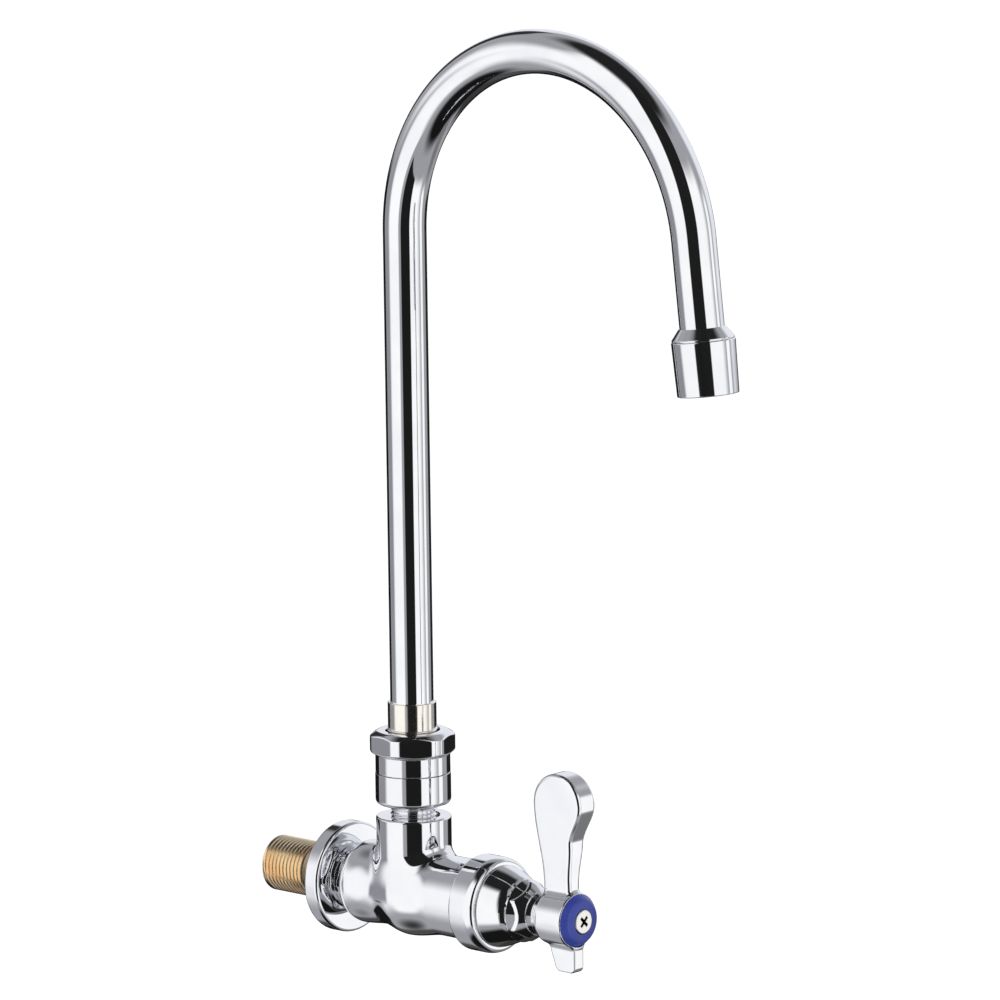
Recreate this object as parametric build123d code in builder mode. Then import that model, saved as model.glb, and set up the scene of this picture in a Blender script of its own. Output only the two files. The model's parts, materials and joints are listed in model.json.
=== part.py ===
from build123d import *
from math import cos, pi, radians, sin
import os

# Commercial wall faucet with a swivelling gooseneck spout and a quarter-turn lever.
# Millimetres. The origin is on the inlet axis in the plane of the wall, behind the
# wall flange. +Z is up, the wall is towards +Y and the lever towards -Y. "Forward"
# distances are measured from the wall plane towards -Y, heights from the inlet axis.

# ---------------------------------------------------------------- clearances
thread_gap = 0.05  # between mating threads, which are drawn plain where they engage
solder_gap = 0.03  # between soldered or pressed sleeves
running_gap = 0.08  # radial, in a bearing that turns
slip_gap = 0.15  # between faces that slide past each other
seam_gap = 0.3  # around parts that stay clear of each other
seam_edge = 0.12  # broken edges at a visible joint
near = 0.01  # tolerance when picking edges by their size or place

# ---------------------------------------------------------------- layout
spout_forward = 37.4  # wall plane to the spout's swivel axis
collar_setback = 33.0  # swivel axis to the back of the collar
riser_top = 245.8  # height at which the tube starts to bend
bend_radius = 69.8  # of the tube's centre line
bend_angle = 173.5  # the outlet leg leans a little outwards
straight_tail = 30.7  # tube's centre line after the bend, up to the outlet cone

# ---------------------------------------------------------------- inlet and wall flange
thread_crest = 0.22  # crest's share of a thread's pitch
pipe_radius = 10.4775  # G 1/2 thread, over the crests
pipe_pitch = 1.8143
pipe_depth = 1.16
pipe_lead = 0.5
pipe_turns = 12
shank_radius = 9.2
shank_reach = 10.6  # plain shank between the flange's back and the thread
shank_grip = 15.0  # length held in the body, behind the flange's front
inlet_bore = 6.75
flange_radius = 20.8
flange_thickness = 6.9
flange_rim = 2.2
flange_web = 2.6
flange_edge = 0.9

# ---------------------------------------------------------------- body casting
spigot_radius = 11.3
spigot_length = 2.5
wrench_corner = 13.6  # centre to corner of the hexagonal back end
wrench_length = 1.6
wrench_round = 1.2  # of its corners
wrench_blend = 5.0
rear_barrel_radius = 15.7
waist_radius = 14.8
waist_setback = 10.0  # behind the swivel axis
globe_radius = 17.0
globe_lead = 2.0  # widest place, in front of the swivel axis
globe_reach = 18.4  # swivel axis to where the globe runs into the front barrel
front_barrel_radius = 14.9
collar_radius = 17.9
collar_length = 11.3
collar_edge = 0.7
collar_crown = 4.0  # length of its rounded front
collar_lip = 16.0  # radius at which the rounding ends
boss_radius = 13.95
boss_height = 28.1
boss_edge = 0.8
boss_sink = 1.4  # countersink of its socket
boss_fillet = 2.8
waterway_radius = 6.0
chamber_radius = 10.6
seat_setback = 9.4  # valve seat behind the swivel axis
step_lead = 0.6  # cartridge step in front of the collar's back
collar_bore = 14.2
outlet_port = 6.0
boss_socket_depth = 13.0

# ---------------------------------------------------------------- swivel
spigot_thread = 8.4
spigot_pitch = 1.5
spigot_thread_depth = 0.75
housing_lift = 4.4  # bare thread between the boss and the housing
housing_radius = 14.0
housing_height = 11.9
housing_round = 2.2
housing_seal_height = 1.5
cup_bore = 10.2
cup_floor = 4.7  # above the housing's underside
cup_thread = 12.4
cup_rise = 8.1  # threaded barrel above the housing's shoulder
housing_port = 5.5

# ---------------------------------------------------------------- spout nut
skirt_radius = 13.85
skirt_height = 6.85
nut_flats = 29.2
nut_corner = 15.8  # radius to which its corners are turned
nut_height = 8.9
nut_face = 12.7  # radius of its turned top face
corner_slope = 0.6  # rise over run of the nut's turned-down corners
mouth_edge = 0.5
nut_turn = 20.5  # degrees; one flat faces the front left
nut_bore_gap = 0.98  # between the nut's mouth and the ferrule

# ---------------------------------------------------------------- spout
tube_radius = 8.0
tube_wall = 1.0
tube_grip = 3.4  # length of tube inside the outlet cone
ferrule_radius = 9.0
ferrule_edge = 0.35
ferrule_above_nut = 10.7
ferrule_ledge = 1.5
o_ring_radius = 0.6
slip_washer_height = 1.0
snap_ring_height = 1.2
snap_ring_groove = 0.4
snap_ring_gap = 4.0
snap_ring_margin = 0.6  # inside the nut's thread

# ---------------------------------------------------------------- outlet and aerator
cone_length = 4.3
cone_small_radius = 8.3
cone_large_radius = 11.2
cone_lip = 0.4
outlet_thread = 10.0
outlet_thread_length = 8.8
shell_top_radius = 11.45
shell_bottom_radius = 11.0
shell_length = 19.4
shell_edge = 0.4
insert_radius = 9.5
insert_length = 5.6
insert_jets = 12
insert_jet_ring = 5.2  # radius of the ring of jets
insert_jet_radius = 0.8
mouth_radius = 8.6
aerator_washer_height = 1.8
aerator_washer_bore = 6.5
screen_thickness = 0.5
screen_hole = 1.1
screen_pitch = 1.7
screen_rows = 9
screen_margin = 0.5  # between the shell's mouth and the holes

# ---------------------------------------------------------------- bonnet
dome_root_radius = 15.4
dome_length = 11.5
dome_mid_radius = 13.2
dome_middle = 5.5  # collar's front to the middle of the dome's arc
dome_tip_radius = 10.6
groove_width = 0.8
groove_depth = 0.8
bonnet_flats = 19.6
bonnet_hex_length = 7.8
bonnet_face = 8.8  # radius of the hexagon's turned front face
bonnet_slope = 2.2  # length over drop of its turned front corners
bonnet_neck_radius = 7.5
bonnet_neck_length = 0.8
bonnet_cavity = 10.5
bonnet_cavity_margin = 5.0
bonnet_o_ring_radius = 0.9

# ---------------------------------------------------------------- cartridge
cartridge_radius = 9.2
cartridge_flange_radius = 12.2
cartridge_flange_length = 4.0
cartridge_snout = 10.0  # in front of the flange, inside the bonnet
disc_radius = 7.4
disc_thickness = 3.0
disc_port_inner = 1.8
disc_port_outer = 5.6
disc_port_angle = 80.0
disc_key_width = 2.5
disc_key_depth = 0.8
seal_length = 3.0
seal_bore = 5.4
driver_gap = 6.0  # length of the legs between the disc and the stem's foot
driver_foot = 4.0
driver_leg_width = 3.0
driver_leg_depth = 1.6
window_margin = 0.5  # between the disc and the windows, along the axis
stem_radius = 4.9
stem_groove_radius = 3.4
stem_groove_width = 1.7
stem_groove_spacing = 4.0
clip_thickness = 1.0
clip_groove_depth = 0.7
clip_radius = 7.6
spline_root_radius = 3.6
spline_tip_radius = 4.0
spline_teeth = 20

# ---------------------------------------------------------------- lever
hub_gap = 0.4  # between the bonnet's neck and the hub
hub_length = 16.2
hub_rear_radius = 8.0
hub_flare_length = 4.6
hub_radius = 10.2
hub_edge = 0.7
hub_swell = 0.2  # growth from the end of the flare to the front
hub_web = 1.4
index_radius = 9.6
index_depth = 2.0
index_rise = 2.6  # its dome stands this far in front of the hub
index_shoulder = 1.7
index_bulge = 0.3
index_lip = 0.7
screw_radius = 2.5
screw_length = 9.0
screw_head_radius = 4.5
screw_head_height = 1.8
screw_head_proud = 0.4  # in front of the index ring's dome
screw_head_round = 0.5
screw_recess_span = 4.6
screw_recess_width = 1.1
screw_recess_depth = 1.2
blade_height = 54.1
blade_radius = 11.4
blade_lead = 1.9  # blade's centre in front of the hub's centre
blade_thickness = 9.3
neck_rear = 1.9  # in front of the hub's back
neck_front = 1.4  # behind the hub's front
neck_thickness = 6.0
neck_height = 14.0
neck_lean = 0.1  # the blade's rear edge leans out by this at the neck
flare_height = 28.0  # where the blade's front edge passes the hub's front
blade_edge = 0.9
tail_depth = 19.5
tail_thickness = 5.2
tail_rear_top = 4.4  # in front of the hub's back
tail_rear_bottom = 7.1
tail_front = 0.3  # in front of the hub's front
tail_corner = 2.4
tail_root = 1.0  # depth at which its sides start inside the hub

# ---------------------------------------------------------------- derived stations
wrench_rear = flange_thickness + spigot_length
barrel_rear = wrench_rear + wrench_length + wrench_blend
seat = spout_forward - seat_setback
collar_rear = spout_forward + collar_setback
collar_front = collar_rear + collar_length
step = collar_rear + step_lead
socket_front = flange_thickness + shank_grip
dome_front = collar_front + dome_length
bonnet_hex_front = dome_front + bonnet_hex_length
bonnet_front = bonnet_hex_front + bonnet_neck_length
hub_rear = bonnet_front + hub_gap
hub_front = hub_rear + hub_length
hub_middle = (hub_rear + hub_front) / 2
blade_centre = hub_middle + blade_lead

# heights on the swivel axis
socket_floor = boss_height - boss_socket_depth
housing_bottom = boss_height + housing_lift
housing_top = housing_bottom + housing_height
cup_bottom = housing_bottom + cup_floor
cup_rim = housing_top + cup_rise
skirt_bottom = housing_top + slip_gap
nut_bottom = skirt_bottom + skirt_height
nut_top = nut_bottom + nut_height
snap_ring_bottom = cup_rim + slip_washer_height + slip_gap
lip_bottom = snap_ring_bottom + snap_ring_height + slip_gap
ferrule_bottom = cup_bottom + seam_gap
ferrule_top = nut_top + ferrule_above_nut
land_radius = cup_bore - running_gap
nut_thread = cup_thread + thread_gap

body_axis = Axis((0, 0, 0), (0, 1, 0))
swivel_axis = Axis((0, -spout_forward, 0), (0, 0, 1))
along_body = Plane((0, 0, 0), x_dir=(0, -1, 0), z_dir=(-1, 0, 0))  # x forward, y up
along_body_below = Plane((0, 0, 0), x_dir=(0, -1, 0), z_dir=(1, 0, 0))  # x forward, y down
wall = Plane.XZ  # its offsets go forward
swivel_base = Plane((0, -spout_forward, 0))  # its offsets go up
swivel_side = Plane.XZ.offset(spout_forward)  # x is the radius, y the height

# frame of the outlet leg, at the end of the bend: its offsets go down the leg
turn = radians(bend_angle)
bend_end_forward = spout_forward + bend_radius * (1 - cos(turn))
bend_end = (0, -bend_end_forward, riser_top + bend_radius * sin(turn))
leg_direction = (0, -sin(turn), cos(turn))
leg = Plane(bend_end, x_dir=(1, 0, 0), z_dir=leg_direction)
leg_side = Plane(leg.origin, x_dir=leg.x_dir, z_dir=leg.y_dir * -1)  # y down the leg
leg_axis = Axis(leg.origin, leg.z_dir)
shell_top = straight_tail + cone_length + slip_gap
shell_bottom = shell_top + shell_length
washer_top = straight_tail + cone_length + outlet_thread_length
insert_top = washer_top + aerator_washer_height
screen_top = insert_top + insert_length
mouth_top = screen_top + screen_thickness

os.makedirs("parts", exist_ok=True)


def groove_row(side, first, count, pitch, radius, depth):
    """V-shaped thread grooves in a row, as a sketch to revolve and cut away."""
    crest = thread_crest * pitch
    with BuildSketch(side) as grooves:
        for turn_number in range(count):
            middle = first + (turn_number + 0.5) * pitch
            with BuildLine():
                Polyline(
                    (middle - (pitch - crest) / 2, radius + seam_gap),
                    (middle - (pitch - crest) / 2, radius),
                    (middle, radius - depth),
                    (middle + (pitch - crest) / 2, radius),
                    (middle + (pitch - crest) / 2, radius + seam_gap),
                    close=True,
                )
            make_face()
    return grooves.sketch


def spline_section(plane, gap):
    """Toothed section of the stem's end; gap widens it for the hub's bore."""
    tooth_height = spline_tip_radius - spline_root_radius
    tooth_width = pi * spline_root_radius / spline_teeth
    with BuildSketch(plane) as section:
        Circle(spline_root_radius + gap)
        with PolarLocations(spline_root_radius + gap, spline_teeth):
            Rectangle(2 * tooth_height, tooth_width + gap)
    return section.sketch


# ================================================================ inlet and wall flange
with BuildPart() as inlet_nipple:
    thread_length = pipe_turns * pipe_pitch
    with BuildSketch(wall.offset(-shank_reach)):
        Circle(shank_radius)
    extrude(amount=shank_reach + socket_front)
    with BuildSketch(wall.offset(-shank_reach - thread_length)):
        Circle(pipe_radius)
    extrude(amount=thread_length)
    chamfer(inlet_nipple.edges().filter_by(GeomType.CIRCLE).sort_by(Axis.Y)[-1], pipe_lead)
    back_to_front = Plane((0, 0, 0), x_dir=(0, 1, 0), z_dir=(1, 0, 0))
    revolve(
        groove_row(back_to_front, shank_reach, pipe_turns, pipe_pitch, pipe_radius, pipe_depth),
        axis=body_axis,
        mode=Mode.SUBTRACT,
    )
    with BuildSketch(wall.offset(socket_front)):
        Circle(inlet_bore)
    extrude(amount=-socket_front - shank_reach - thread_length, mode=Mode.SUBTRACT)
inlet_nipple.part.label = "inlet_nipple"

with BuildPart() as wall_flange:
    with BuildSketch(wall):
        Circle(flange_radius)
    extrude(amount=flange_thickness)
    fillet(wall_flange.edges().filter_by(GeomType.CIRCLE), flange_edge)
    with BuildSketch(wall):
        Circle(flange_radius - flange_rim)
    extrude(amount=flange_thickness - flange_web, mode=Mode.SUBTRACT)
    with BuildSketch(wall):
        Circle(shank_radius + slip_gap)
    extrude(amount=flange_thickness, mode=Mode.SUBTRACT)
wall_flange.part.label = "wall_flange"

# ================================================================ body casting
with BuildPart() as faucet_body:
    # turned outline: barrel, waist, globe, front barrel and collar
    with BuildSketch(along_body_below):
        with BuildLine():
            globe_end = spout_forward + globe_reach
            Polyline(
                (globe_end, front_barrel_radius),
                (collar_rear, front_barrel_radius),
                (collar_rear, collar_radius),
                (collar_front - collar_crown, collar_radius),
            )
            TangentArc(
                (collar_front - collar_crown, collar_radius),
                (collar_front, collar_lip),
                tangent=(1, 0),
            )
            Polyline(
                (collar_front, collar_lip),
                (collar_front, 0),
                (barrel_rear, 0),
                (barrel_rear, rear_barrel_radius),
            )
            Spline(
                (barrel_rear, rear_barrel_radius),
                (spout_forward - waist_setback, waist_radius),
                (spout_forward + globe_lead, globe_radius),
                (globe_end, front_barrel_radius),
                tangents=((1, 0), (1, 0)),
            )
        make_face()
    revolve(axis=body_axis)
    rims = faucet_body.edges().filter_by(GeomType.CIRCLE)
    collar_rims = rims.filter_by(lambda rim: abs(rim.radius - collar_radius) < near)
    chamfer(collar_rims.sort_by(Axis.Y)[-1], collar_edge)
    # upright boss, blended into the globe
    with BuildSketch(swivel_base):
        Circle(boss_radius)
    extrude(amount=boss_height)
    boss_root = faucet_body.edges().filter_by(GeomType.BSPLINE).sort_by(Axis.Z)[-1]
    fillet(boss_root, boss_fillet)
    chamfer(faucet_body.edges().filter_by(GeomType.CIRCLE).sort_by(Axis.Z)[-1], boss_edge)
    # hexagonal back end, blended into the barrel, and the spigot that meets the flange
    with BuildSketch(wall.offset(wrench_rear)):
        RegularPolygon(wrench_corner, 6)
        fillet(vertices(), wrench_round)
    extrude(amount=wrench_length)
    with BuildSketch(wall.offset(wrench_rear + wrench_length)):
        RegularPolygon(wrench_corner, 6)
        fillet(vertices(), wrench_round)
    with BuildSketch(wall.offset(barrel_rear)):
        Circle(rear_barrel_radius)
    loft()
    with BuildSketch(wall.offset(flange_thickness)):
        Circle(spigot_radius)
    extrude(amount=spigot_length)
    # waterways and sockets
    with BuildSketch(wall.offset(flange_thickness)):
        Circle(shank_radius + thread_gap)
    extrude(amount=shank_grip, mode=Mode.SUBTRACT)
    with BuildSketch(wall.offset(socket_front)):
        Circle(waterway_radius)
    extrude(amount=seat - socket_front, mode=Mode.SUBTRACT)
    with BuildSketch(wall.offset(seat)):
        Circle(chamber_radius)
    extrude(amount=step - seat, mode=Mode.SUBTRACT)
    with BuildSketch(wall.offset(step)):
        Circle(collar_bore)
    extrude(amount=collar_front - step, mode=Mode.SUBTRACT)
    with BuildSketch(swivel_base):
        Circle(outlet_port)
    extrude(amount=boss_height, mode=Mode.SUBTRACT)
    with BuildSketch(swivel_base.offset(socket_floor)):
        Circle(spigot_thread + thread_gap)
    extrude(amount=boss_socket_depth, mode=Mode.SUBTRACT)
    boss_rims = faucet_body.edges().filter_by(GeomType.CIRCLE).group_by(Axis.Z)[-1]
    chamfer(boss_rims.sort_by(lambda rim: rim.radius)[0], boss_sink)
faucet_body.part.label = "faucet_body"

# ================================================================ swivel
with BuildPart() as housing_seal:
    with BuildSketch(swivel_base.offset(socket_floor)):
        Circle(spigot_thread - slip_gap)
        Circle(outlet_port, mode=Mode.SUBTRACT)
    extrude(amount=housing_seal_height)
housing_seal.part.label = "housing_seal"

with BuildPart() as swivel_housing:
    spigot_bottom = socket_floor + housing_seal_height
    with BuildSketch(swivel_base.offset(spigot_bottom)):
        Circle(spigot_thread)
    extrude(amount=housing_bottom - spigot_bottom)
    upright = Plane((0, -spout_forward, 0), x_dir=(0, 0, 1), z_dir=(-1, 0, 0))
    spigot_turns = int((housing_bottom - spigot_bottom) / spigot_pitch)
    revolve(
        groove_row(
            upright,
            housing_bottom - spigot_turns * spigot_pitch,
            spigot_turns,
            spigot_pitch,
            spigot_thread,
            spigot_thread_depth,
        ),
        axis=swivel_axis,
        mode=Mode.SUBTRACT,
    )
    with BuildSketch(swivel_base.offset(housing_bottom)):
        Circle(housing_radius)
    extrude(amount=housing_height)
    rims = swivel_housing.edges().filter_by(GeomType.CIRCLE)
    rims = rims.filter_by(lambda rim: abs(rim.radius - housing_radius) < near).sort_by(Axis.Z)
    fillet(rims[0], housing_round)
    chamfer(rims[-1], seam_edge)
    with BuildSketch(swivel_base.offset(housing_top)):
        Circle(cup_thread)
    extrude(amount=cup_rise)
    with BuildSketch(swivel_base.offset(cup_bottom)):
        Circle(cup_bore)
    extrude(amount=cup_rim - cup_bottom, mode=Mode.SUBTRACT)
    with BuildSketch(swivel_base.offset(spigot_bottom)):
        Circle(housing_port)
    extrude(amount=cup_bottom - spigot_bottom, mode=Mode.SUBTRACT)
swivel_housing.part.label = "swivel_housing"

with BuildPart() as slip_washer:
    with BuildSketch(swivel_base.offset(cup_rim)):
        Circle(cup_thread - slip_gap)
        Circle(cup_bore + slip_gap, mode=Mode.SUBTRACT)
    extrude(amount=slip_washer_height)
slip_washer.part.label = "slip_washer"

with BuildPart() as spout_nut:
    with BuildSketch(swivel_base.offset(skirt_bottom)):
        Circle(skirt_radius)
    extrude(amount=skirt_height)
    chamfer(spout_nut.edges().filter_by(GeomType.CIRCLE).sort_by(Axis.Z)[0], seam_edge)
    # hexagon with its corners turned down top and bottom
    with BuildSketch(swivel_base.offset(nut_bottom)):
        RegularPolygon(nut_flats / 2, 6, major_radius=False, rotation=nut_turn)
    extrude(amount=nut_height)
    top_drop = (nut_corner - nut_face) * corner_slope
    bottom_drop = (nut_corner - skirt_radius) * corner_slope
    with BuildSketch(swivel_side):
        with BuildLine():
            Polyline(
                (0, skirt_bottom),
                (skirt_radius, skirt_bottom),
                (skirt_radius, nut_bottom),
                (nut_corner, nut_bottom + bottom_drop),
                (nut_corner, nut_top - top_drop),
                (nut_face, nut_top),
                (0, nut_top),
                close=True,
            )
        make_face()
    revolve(axis=swivel_axis, mode=Mode.INTERSECT)
    with BuildSketch(swivel_base.offset(skirt_bottom)):
        Circle(nut_thread)
    extrude(amount=lip_bottom - skirt_bottom, mode=Mode.SUBTRACT)
    with BuildSketch(swivel_base.offset(lip_bottom)):
        Circle(ferrule_radius + nut_bore_gap)
    extrude(amount=nut_top - lip_bottom, mode=Mode.SUBTRACT)
    mouth = spout_nut.edges().filter_by(GeomType.CIRCLE).sort_by(Axis.Z)
    mouth = mouth.filter_by(lambda rim: rim.radius < ferrule_radius + nut_bore_gap + near)[-1]
    chamfer(mouth, mouth_edge)
spout_nut.part.label = "spout_nut"

# ================================================================ spout
with BuildPart() as spout_ferrule:
    land_top = snap_ring_bottom
    with BuildSketch(swivel_base.offset(ferrule_bottom)):
        Circle(land_radius)
    extrude(amount=land_top - ferrule_bottom)
    with BuildSketch(swivel_base.offset(land_top)):
        Circle(ferrule_radius)
    extrude(amount=ferrule_top - land_top)
    chamfer(spout_ferrule.edges().filter_by(GeomType.CIRCLE).sort_by(Axis.Z)[-1], ferrule_edge)
    # two O-ring grooves, and the groove that the snap ring stands in
    ring_width = 2 * o_ring_radius + slip_gap
    ring_spacing = (land_top - ferrule_bottom) / 3
    for ring_number in (1, 2):
        ring_height = ferrule_bottom + ring_number * ring_spacing
        with BuildSketch(swivel_base.offset(ring_height - ring_width / 2)):
            Circle(land_radius + seam_gap)
            Circle(land_radius - 2 * o_ring_radius - solder_gap, mode=Mode.SUBTRACT)
        extrude(amount=ring_width, mode=Mode.SUBTRACT)
    with BuildSketch(swivel_base.offset(snap_ring_bottom)):
        Circle(ferrule_radius + seam_gap)
        Circle(ferrule_radius - snap_ring_groove, mode=Mode.SUBTRACT)
    extrude(amount=snap_ring_height + slip_gap, mode=Mode.SUBTRACT)
    # socket for the tube, on a ledge
    with BuildSketch(swivel_base.offset(ferrule_bottom)):
        Circle(tube_radius - tube_wall)
    extrude(amount=ferrule_ledge, mode=Mode.SUBTRACT)
    with BuildSketch(swivel_base.offset(ferrule_bottom + ferrule_ledge)):
        Circle(tube_radius + solder_gap)
    extrude(amount=ferrule_top - ferrule_bottom, mode=Mode.SUBTRACT)
spout_ferrule.part.label = "spout_ferrule"

with BuildPart() as spout_o_rings:
    for ring_number in (1, 2):
        ring_height = ferrule_bottom + ring_number * ring_spacing
        with BuildSketch(swivel_side):
            with Locations((land_radius - o_ring_radius, ring_height)):
                Circle(o_ring_radius)
        revolve(axis=swivel_axis)
spout_o_rings.part.label = "spout_o_rings"

with BuildPart() as snap_ring:
    with BuildSketch(swivel_base.offset(snap_ring_bottom)):
        Circle(nut_thread - snap_ring_margin)
        Circle(ferrule_radius - snap_ring_groove + solder_gap, mode=Mode.SUBTRACT)
        with Locations((0, nut_thread)):
            Rectangle(snap_ring_gap, nut_thread, mode=Mode.SUBTRACT)
    extrude(amount=snap_ring_height)
snap_ring.part.label = "snap_ring"

with BuildPart() as spout_tube:
    tube_bottom = ferrule_bottom + ferrule_ledge
    with BuildLine() as centre_line:
        riser = Line((0, -spout_forward, tube_bottom), (0, -spout_forward, riser_top))
        half_turn = turn / 2
        bend = ThreePointArc(
            riser @ 1,
            (
                0,
                -spout_forward - bend_radius * (1 - cos(half_turn)),
                riser_top + bend_radius * sin(half_turn),
            ),
            bend_end,
        )
        Line(bend @ 1, leg.offset(straight_tail + tube_grip).origin)
    with BuildSketch(swivel_base.offset(tube_bottom)):
        Circle(tube_radius)
        Circle(tube_radius - tube_wall, mode=Mode.SUBTRACT)
    sweep()
spout_tube.part.label = "spout_tube"

# ================================================================ outlet and aerator
with BuildPart() as outlet_adapter:
    cone_bottom = straight_tail + cone_length
    with BuildSketch(leg_side):
        with BuildLine():
            Polyline(
                (0, straight_tail),
                (cone_small_radius, straight_tail),
                (cone_large_radius, cone_bottom - cone_lip),
                (cone_large_radius, cone_bottom),
                (outlet_thread, cone_bottom),
                (outlet_thread, washer_top),
                (0, washer_top),
                close=True,
            )
        make_face()
    revolve(axis=leg_axis)
    with BuildSketch(leg.offset(straight_tail)):
        Circle(tube_radius + solder_gap)
    extrude(amount=tube_grip + solder_gap, mode=Mode.SUBTRACT)
    with BuildSketch(leg.offset(straight_tail)):
        Circle(tube_radius - tube_wall)
    extrude(amount=washer_top - straight_tail, mode=Mode.SUBTRACT)
outlet_adapter.part.label = "outlet_adapter"

with BuildPart() as aerator_shell:
    with BuildSketch(leg_side):
        with BuildLine():
            Polyline(
                (outlet_thread + thread_gap, shell_top),
                (shell_top_radius - shell_edge, shell_top),
                (shell_top_radius, shell_top + shell_edge),
                (shell_bottom_radius, shell_bottom - shell_edge),
                (shell_bottom_radius - shell_edge, shell_bottom),
                (mouth_radius, shell_bottom),
                (mouth_radius, mouth_top),
                (insert_radius + solder_gap, mouth_top),
                (insert_radius + solder_gap, washer_top + slip_gap),
                (outlet_thread + thread_gap, washer_top + slip_gap),
                close=True,
            )
        make_face()
    revolve(axis=leg_axis)
aerator_shell.part.label = "aerator_shell"

with BuildPart() as aerator_washer:
    with BuildSketch(leg.offset(washer_top)):
        Circle(insert_radius)
        Circle(aerator_washer_bore, mode=Mode.SUBTRACT)
    extrude(amount=aerator_washer_height)
aerator_washer.part.label = "aerator_washer"

with BuildPart() as aerator_insert:
    with BuildSketch(leg.offset(insert_top)):
        Circle(insert_radius)
        with PolarLocations(insert_jet_ring, insert_jets):
            Circle(insert_jet_radius, mode=Mode.SUBTRACT)
    extrude(amount=insert_length)
    # air slots around the lower half
    with BuildSketch(leg.offset(insert_top + insert_length / 2)):
        with PolarLocations(insert_radius, insert_jets):
            Rectangle(insert_jet_radius * 2, insert_jet_radius * 2)
    extrude(amount=insert_length / 2, mode=Mode.SUBTRACT)
aerator_insert.part.label = "aerator_insert"

with BuildPart() as aerator_screen:
    with BuildSketch(leg.offset(screen_top)):
        Circle(insert_radius)
        with BuildSketch(mode=Mode.SUBTRACT):
            with GridLocations(screen_pitch, screen_pitch, screen_rows, screen_rows):
                Rectangle(screen_hole, screen_hole)
            Circle(mouth_radius - screen_margin, mode=Mode.INTERSECT)
    extrude(amount=screen_thickness)
aerator_screen.part.label = "aerator_screen"

# ================================================================ bonnet
with BuildPart() as bonnet:
    # hexagon with its front corners turned down
    with BuildSketch(wall.offset(dome_front)):
        RegularPolygon(bonnet_flats / 2, 6, major_radius=False, rotation=30)
    extrude(amount=bonnet_hex_length)
    bonnet_corner = bonnet_flats / 2 / cos(radians(30))
    front_drop = (bonnet_corner - bonnet_face) * bonnet_slope
    with BuildSketch(along_body):
        with BuildLine():
            Polyline(
                (dome_front, 0),
                (dome_front, bonnet_corner),
                (bonnet_hex_front - front_drop, bonnet_corner),
                (bonnet_hex_front, bonnet_face),
                (bonnet_hex_front, 0),
                close=True,
            )
        make_face()
    revolve(axis=body_axis, mode=Mode.INTERSECT)
    # neck, dome and the groove behind it, and the threaded shank in the collar
    with BuildSketch(wall.offset(bonnet_hex_front)):
        Circle(bonnet_neck_radius)
    extrude(amount=bonnet_neck_length)
    groove_front = collar_front + groove_width
    flange_front = step + cartridge_flange_length
    with BuildSketch(along_body):
        with BuildLine():
            Polyline(
                (dome_front, dome_tip_radius),
                (dome_front, 0),
                (flange_front, 0),
                (flange_front, collar_bore - thread_gap),
                (collar_front, collar_bore - thread_gap),
                (collar_front, dome_root_radius - groove_depth),
                (groove_front, dome_root_radius - groove_depth),
                (groove_front, dome_root_radius),
            )
            ThreePointArc(
                (groove_front, dome_root_radius),
                (collar_front + dome_middle, dome_mid_radius),
                (dome_front, dome_tip_radius),
            )
        make_face()
    revolve(axis=body_axis)
    with BuildSketch(wall.offset(flange_front)):
        Circle(bonnet_cavity)
    extrude(amount=dome_front - bonnet_cavity_margin - flange_front, mode=Mode.SUBTRACT)
    with BuildSketch(wall.offset(step)):
        Circle(stem_radius + seam_gap)
    extrude(amount=bonnet_front - step, mode=Mode.SUBTRACT)
bonnet.part.label = "bonnet"

with BuildPart() as bonnet_o_ring:
    with BuildSketch(along_body):
        with Locations((step + bonnet_o_ring_radius, (cartridge_flange_radius + collar_bore) / 2)):
            Circle(bonnet_o_ring_radius)
    revolve(axis=body_axis)
bonnet_o_ring.part.label = "bonnet_o_ring"

# ================================================================ cartridge
seal_front = seat + seal_length
fixed_front = seal_front + disc_thickness
moving_front = fixed_front + disc_thickness
foot_rear = moving_front + driver_gap
foot_front = foot_rear + driver_foot
cartridge_front = step + cartridge_flange_length + cartridge_snout
disc_bore = disc_radius + slip_gap

with BuildPart() as cartridge_housing:
    with BuildSketch(wall.offset(seat + slip_gap)):
        Circle(cartridge_radius)
    extrude(amount=cartridge_front - seat - slip_gap)
    with BuildSketch(wall.offset(step)):
        Circle(cartridge_flange_radius)
    extrude(amount=cartridge_flange_length)
    with BuildSketch(wall.offset(seat)):
        Circle(disc_bore)
    extrude(amount=foot_front + slip_gap - seat, mode=Mode.SUBTRACT)
    with BuildSketch(wall.offset(seat)):
        Circle(stem_radius + running_gap)
    extrude(amount=cartridge_front - seat, mode=Mode.SUBTRACT)
    # keyways of the fixed disc, open at the rear
    with BuildSketch(wall.offset(seat + slip_gap)):
        with PolarLocations(disc_bore, 2):
            Rectangle(2 * disc_key_depth, disc_key_width + slip_gap)
    extrude(amount=fixed_front - seat - slip_gap, mode=Mode.SUBTRACT)
    # two windows that let the water out, above and below
    with BuildSketch(wall.offset(moving_front + window_margin)):
        Rectangle(2 * driver_leg_width, 2 * (cartridge_radius + seam_gap))
    extrude(amount=driver_gap - 2 * window_margin, mode=Mode.SUBTRACT)
cartridge_housing.part.label = "cartridge_housing"

with BuildPart() as seat_seal:
    with BuildSketch(wall.offset(seat)):
        Circle(disc_radius)
        Circle(seal_bore, mode=Mode.SUBTRACT)
    extrude(amount=seal_length)
seat_seal.part.label = "seat_seal"


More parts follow.
